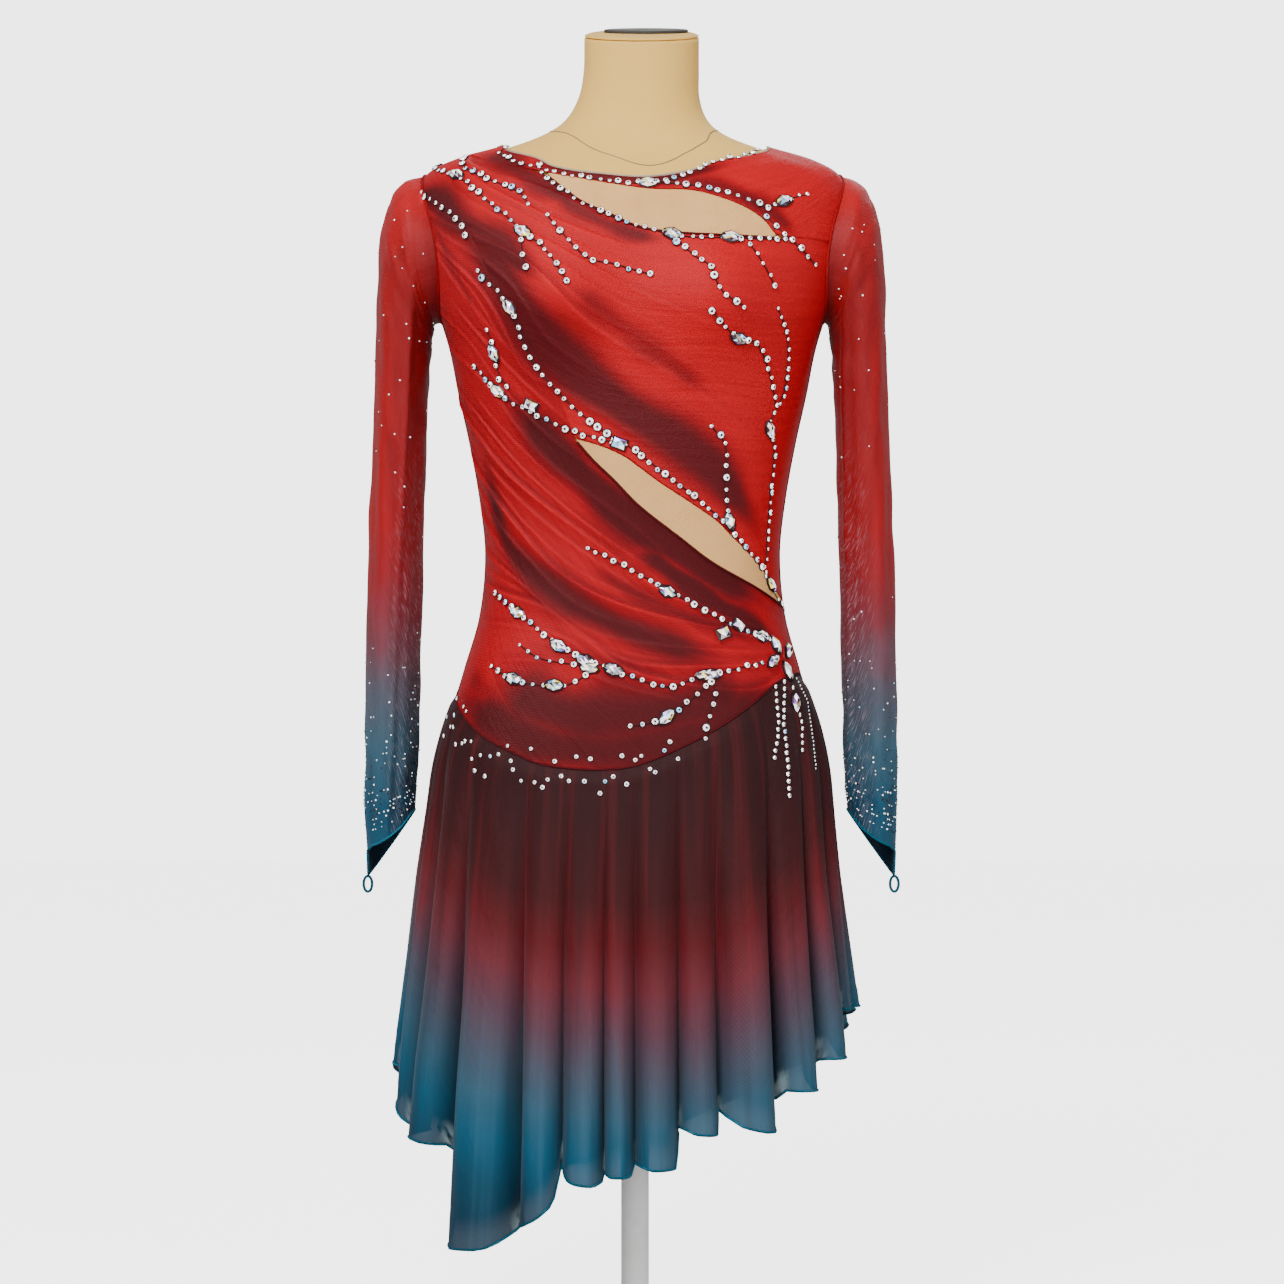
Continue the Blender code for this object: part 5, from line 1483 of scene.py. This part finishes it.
# Sizes of round stones against their strand's stone radius, and how often each comes.
STONE_SIZES = [0.78, 0.98, 1.20, 1.42]
SIZE_SHARES = [0.25, 0.30, 0.28, 0.17]
# Half length, half width and height.
LONG_STONE = (0.0096, 0.0058, 0.0038)
BIG_STONE_HEIGHT = 0.0042
STRAND_STEPS = 120
SEAM_STONES = 44
SEAM_START = -76
SEAM_SPAN = 92
SEAM_GAP = 0.0035


def surface(turn, z):
    """The outside of the cloth at a place, and the way out."""
    turn = np.array([[float(turn)]])
    z = np.array([[float(z)]])
    normal = body_normals(turn, z)
    lift = LIFT + STONE_LIFT + crease_fields(turn, z, ALL_CREASES)[0][0, 0]
    return (body_points(turn, z) + normal * lift)[0, 0], normal[0, 0]


def slanted(normal, degrees):
    """A direction on the surface, turned from the level by some degrees."""
    level = unit(np.cross(np.array([0.0, 0.0, 1.0]), normal))
    rise = np.cross(normal, level)
    return level * math.cos(math.radians(degrees)) + rise * math.sin(math.radians(degrees))


def strand_thread(number, places):
    """A thin dark thread that the stones of a strand are sewn along."""
    turn = places[::2, 0]
    z = places[::2, 1]
    normals = body_normals(turn, z)
    rise = crease_fields(turn[None], z[None], ALL_CREASES)[0][0]
    line = body_points(turn, z) + normals * (LIFT + 0.0004 + rise)[:, None]
    made = tube("strand_thread_%02d" % number, line, 0.0007, 5, up=normals)
    dress(made, STRAND_THREAD)


def round_stone(middle, normal, along, size):
    """A round stone of a size, on the cloth."""
    return Stone(middle, normal, along, size, size, size * STONE_HEIGHT)


round_stones = []
long_stones = []
square_stones = []
random = np.random.default_rng(5)
for row, strand in enumerate(STRANDS):
    places = spline(strand.path, STRAND_STEPS)
    strand_thread(row, places)
    points = body_points(places[:, 0], places[:, 1])
    length = float(np.sum(np.linalg.norm(np.diff(points, axis=0), axis=1)))
    count = max(int(length / strand.pitch), 2)
    long_at = [int(round(share * (count - 1))) for share in strand.long_at]
    for number in range(count):
        place = number / (count - 1) * (STRAND_STEPS - 1)
        turn = np.interp(place, range(STRAND_STEPS), places[:, 0]) + random.normal(0, 0.25)
        z = np.interp(place, range(STRAND_STEPS), places[:, 1]) + random.normal(0, 0.0006)
        middle, normal = surface(turn, z)
        ahead = points[min(int(place) + 1, STRAND_STEPS - 1)] - points[max(int(place) - 1, 0)]
        if number in long_at:
            lean = unit(ahead) + slanted(normal, random.uniform(-30, 30)) * 0.35
            long_stones.append(Stone(middle, normal, lean, *LONG_STONE))
        else:
            size = strand.radius * random.choice(STONE_SIZES, p=SIZE_SHARES)
            round_stones.append(round_stone(middle, normal, ahead, size))
for stone in BIG_STONES:
    middle, normal = surface(stone.turn, stone.z)
    lean = slanted(normal, stone.slant)
    group = square_stones if stone.square else long_stones
    group.append(Stone(middle, normal, lean, stone.long, stone.wide, BIG_STONE_HEIGHT))

# Stones scattered in loose rows along the seam of the skirt.
for number in range(SEAM_STONES):
    share = (number + random.uniform(-0.35, 0.35)) / SEAM_STONES
    turn = SEAM_START + SEAM_SPAN * share
    drop = random.uniform(-0.008, 0.017)
    if turn < -42:
        drop = random.uniform(-0.010, 0.034)
    seam_z = np.interp(turn, seam_front[:, 0], seam_front[:, 1])
    size = random.uniform(0.0017, 0.0025)
    if drop < 0:
        middle, normal = surface(turn, seam_z + SEAM_GAP - drop)
    else:
        hem_z = np.interp(turn, *np.array(HEM).T)
        down = np.array([[(drop + SEAM_GAP) / (seam_z - hem_z)]])
        point, _valley, way = skirt_points(np.array([[turn]]), down, seam_front)
        middle = point[0, 0]
        normal = way[0, 0]
    round_stones.append(round_stone(middle, normal, (0, 0, 1), size))

# Strings of stones that hang from the right hip over the skirt.
hang_turns = np.linspace(20, 89, 160)


def on_skirt(x, z):
    """The point of the skirt's front at a width and a height, and the way out."""
    seam_z = np.interp(hang_turns, seam_front[:, 0], seam_front[:, 1])
    hem_z = np.interp(hang_turns, *np.array(HEM).T)
    share = np.clip((seam_z - z) / (seam_z - hem_z), 0, 1)
    points, _valley, way = skirt_points(hang_turns[None], share[None], seam_front)
    nearest = int(np.argmin(np.abs(points[0, :, 0] - x)))
    point = points[0, nearest].copy()
    if z > seam_z[nearest]:
        normal = body_normals(hang_turns[nearest:nearest + 1], np.array([z]))[0]
        body = body_points(hang_turns[nearest:nearest + 1], np.array([z]))[0]
        return body + normal * (LIFT + 0.0008), normal
    point[2] = z
    return point, way[0, nearest]


# The strings' paths are in pixels of the picture, from its upper left corner.
Hanging = namedtuple("Hanging", "pitch radius path")
HANGINGS = [
    Hanging(0.0062, 0.0024, [(785, 682), (784, 725), (788, 768), (789, 798)]),
    Hanging(0.0062, 0.0022, [(776, 687), (779, 725), (774, 761)]),
    Hanging(0.0062, 0.0022, [(794, 688), (796, 703), (803, 723), (803, 753)]),
    Hanging(0.0034, 0.0011, [(799, 679), (810, 702), (815, 743), (818, 773)]),
]
HANGING_STONE = (796.7, 703.3)
PICTURE_SIDE = 1284
CAMERA = (0.0063, -3.0, 0.6272)
PIXEL_AT_HIP = 0.00087


def from_picture(spot):
    """The width and height of a pixel of the picture, at the depth of the right hip."""
    over = (spot[0] - PICTURE_SIDE / 2) * PIXEL_AT_HIP
    down = (spot[1] - PICTURE_SIDE / 2) * PIXEL_AT_HIP
    return CAMERA[0] + over, CAMERA[2] - down


for string in HANGINGS:
    path = np.array([from_picture(spot) for spot in string.path])
    steps = np.concatenate([[0.0], np.cumsum(np.linalg.norm(np.diff(path, axis=0), axis=1))])
    for reach in np.arange(0, steps[-1], string.pitch):
        x = np.interp(reach, steps, path[:, 0])
        z = np.interp(reach, steps, path[:, 1])
        point, way = on_skirt(x, z)
        round_stones.append(Stone(point, way, (0, 0, 1), string.radius, string.radius, string.radius))

point, way = on_skirt(*from_picture(HANGING_STONE))
long_stones.append(Stone(point, way, (-0.25, 0, 1), 0.0100, 0.0062, BIG_STONE_HEIGHT))

for number, (name, stones, shape) in enumerate((
    ("round_stones", round_stones, stone_shape(8, 0.36, heart=0.10)),
    ("long_stones", long_stones, stone_shape(8, 0.46, pointed=True)),
    ("square_stones", square_stones, stone_shape(4, 0.44, square=True)),
)):
    dress(stones_mesh(name, stones, shape, number + 1, mixed=number > 0), CRYSTAL)


# Floor, light and camera.
def stage_sheet(name, size, middle, tone, glow, lean=0.0):
    """A plain pale sheet of the studio, lit for the eye alone."""
    build = bmesh.new()
    bmesh.ops.create_grid(build, x_segments=1, y_segments=1, size=size / 2)
    bmesh.ops.rotate(build, cent=(0, 0, 0), matrix=Matrix.Rotation(lean, 3, "X"), verts=build.verts[:])
    bmesh.ops.translate(build, vec=middle, verts=build.verts[:])
    mesh = bpy.data.meshes.new(name)
    build.to_mesh(mesh)
    build.free()
    look = Look(name, 0.9, Specular_IOR_Level=0.05, Emission_Strength=glow)
    cloud = look.noise(look.place(), 2.0, 2.0)
    shade = look.mix(cloud, tone, ink(252, 252, 252))
    look.colour(shade)
    look.link(shade, look.shader.inputs["Emission Color"])
    mesh.materials.append(look.material)
    made = placed(name, mesh, smooth=False)
    made.visible_diffuse = False
    made.visible_glossy = False
    made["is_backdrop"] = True


stage_sheet("floor", 20.0, (0.0, 0.0, -0.0005), ink(250, 250, 249), 3.3)
stage_sheet("backdrop", 20.0, (0.0, 6.5, 6.0), ink(250, 250, 249), 3.4, math.pi / 2)


def area_light(name, place, target, size, power):
    """A soft square light that faces a point."""
    lamp = bpy.data.lights.new(name, "AREA")
    lamp.size = size
    lamp.energy = power
    made = bpy.data.objects.new(name, lamp)
    made.location = place
    made.rotation_euler = (Vector(target) - Vector(place)).to_track_quat("-Z", "Y").to_euler()
    bpy.context.scene.collection.objects.link(made)
    made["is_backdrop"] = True


area_light("key", (-0.9, -2.2, 2.5), (0.0, 0.0, 0.95), 1.2, 78)
area_light("fill", (2.2, -2.4, 1.2), (0.0, 0.0, 0.7), 2.0, 30)
area_light("low", (-0.4, -2.6, 0.5), (0.0, 0.0, 0.2), 1.4, 14)
area_light("back", (0.6, 2.2, 2.4), (0.0, 0.0, 0.7), 1.6, 20)

world = bpy.data.worlds.new("studio")
world.use_nodes = True
world.node_tree.nodes["Background"].inputs["Color"].default_value = (1.0, 1.0, 1.0, 1.0)
world.node_tree.nodes["Background"].inputs["Strength"].default_value = 0.42
bpy.context.scene.world = world

# The camera takes in VIEW_WIDTH metres at the middle of the object.
SENSOR = 36.0
VIEW_WIDTH = 1.1556
lens = bpy.data.cameras.new("camera")
lens.sensor_width = SENSOR
lens.lens = SENSOR * -CAMERA[1] / VIEW_WIDTH
lens.clip_end = 60.0
camera = bpy.data.objects.new("camera", lens)
camera.location = CAMERA
camera.rotation_euler = (math.pi / 2, 0.0, 0.0)
bpy.context.scene.collection.objects.link(camera)
bpy.context.scene.camera = camera
bpy.context.scene.render.resolution_x = PICTURE_SIDE
bpy.context.scene.render.resolution_y = PICTURE_SIDE

low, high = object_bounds()
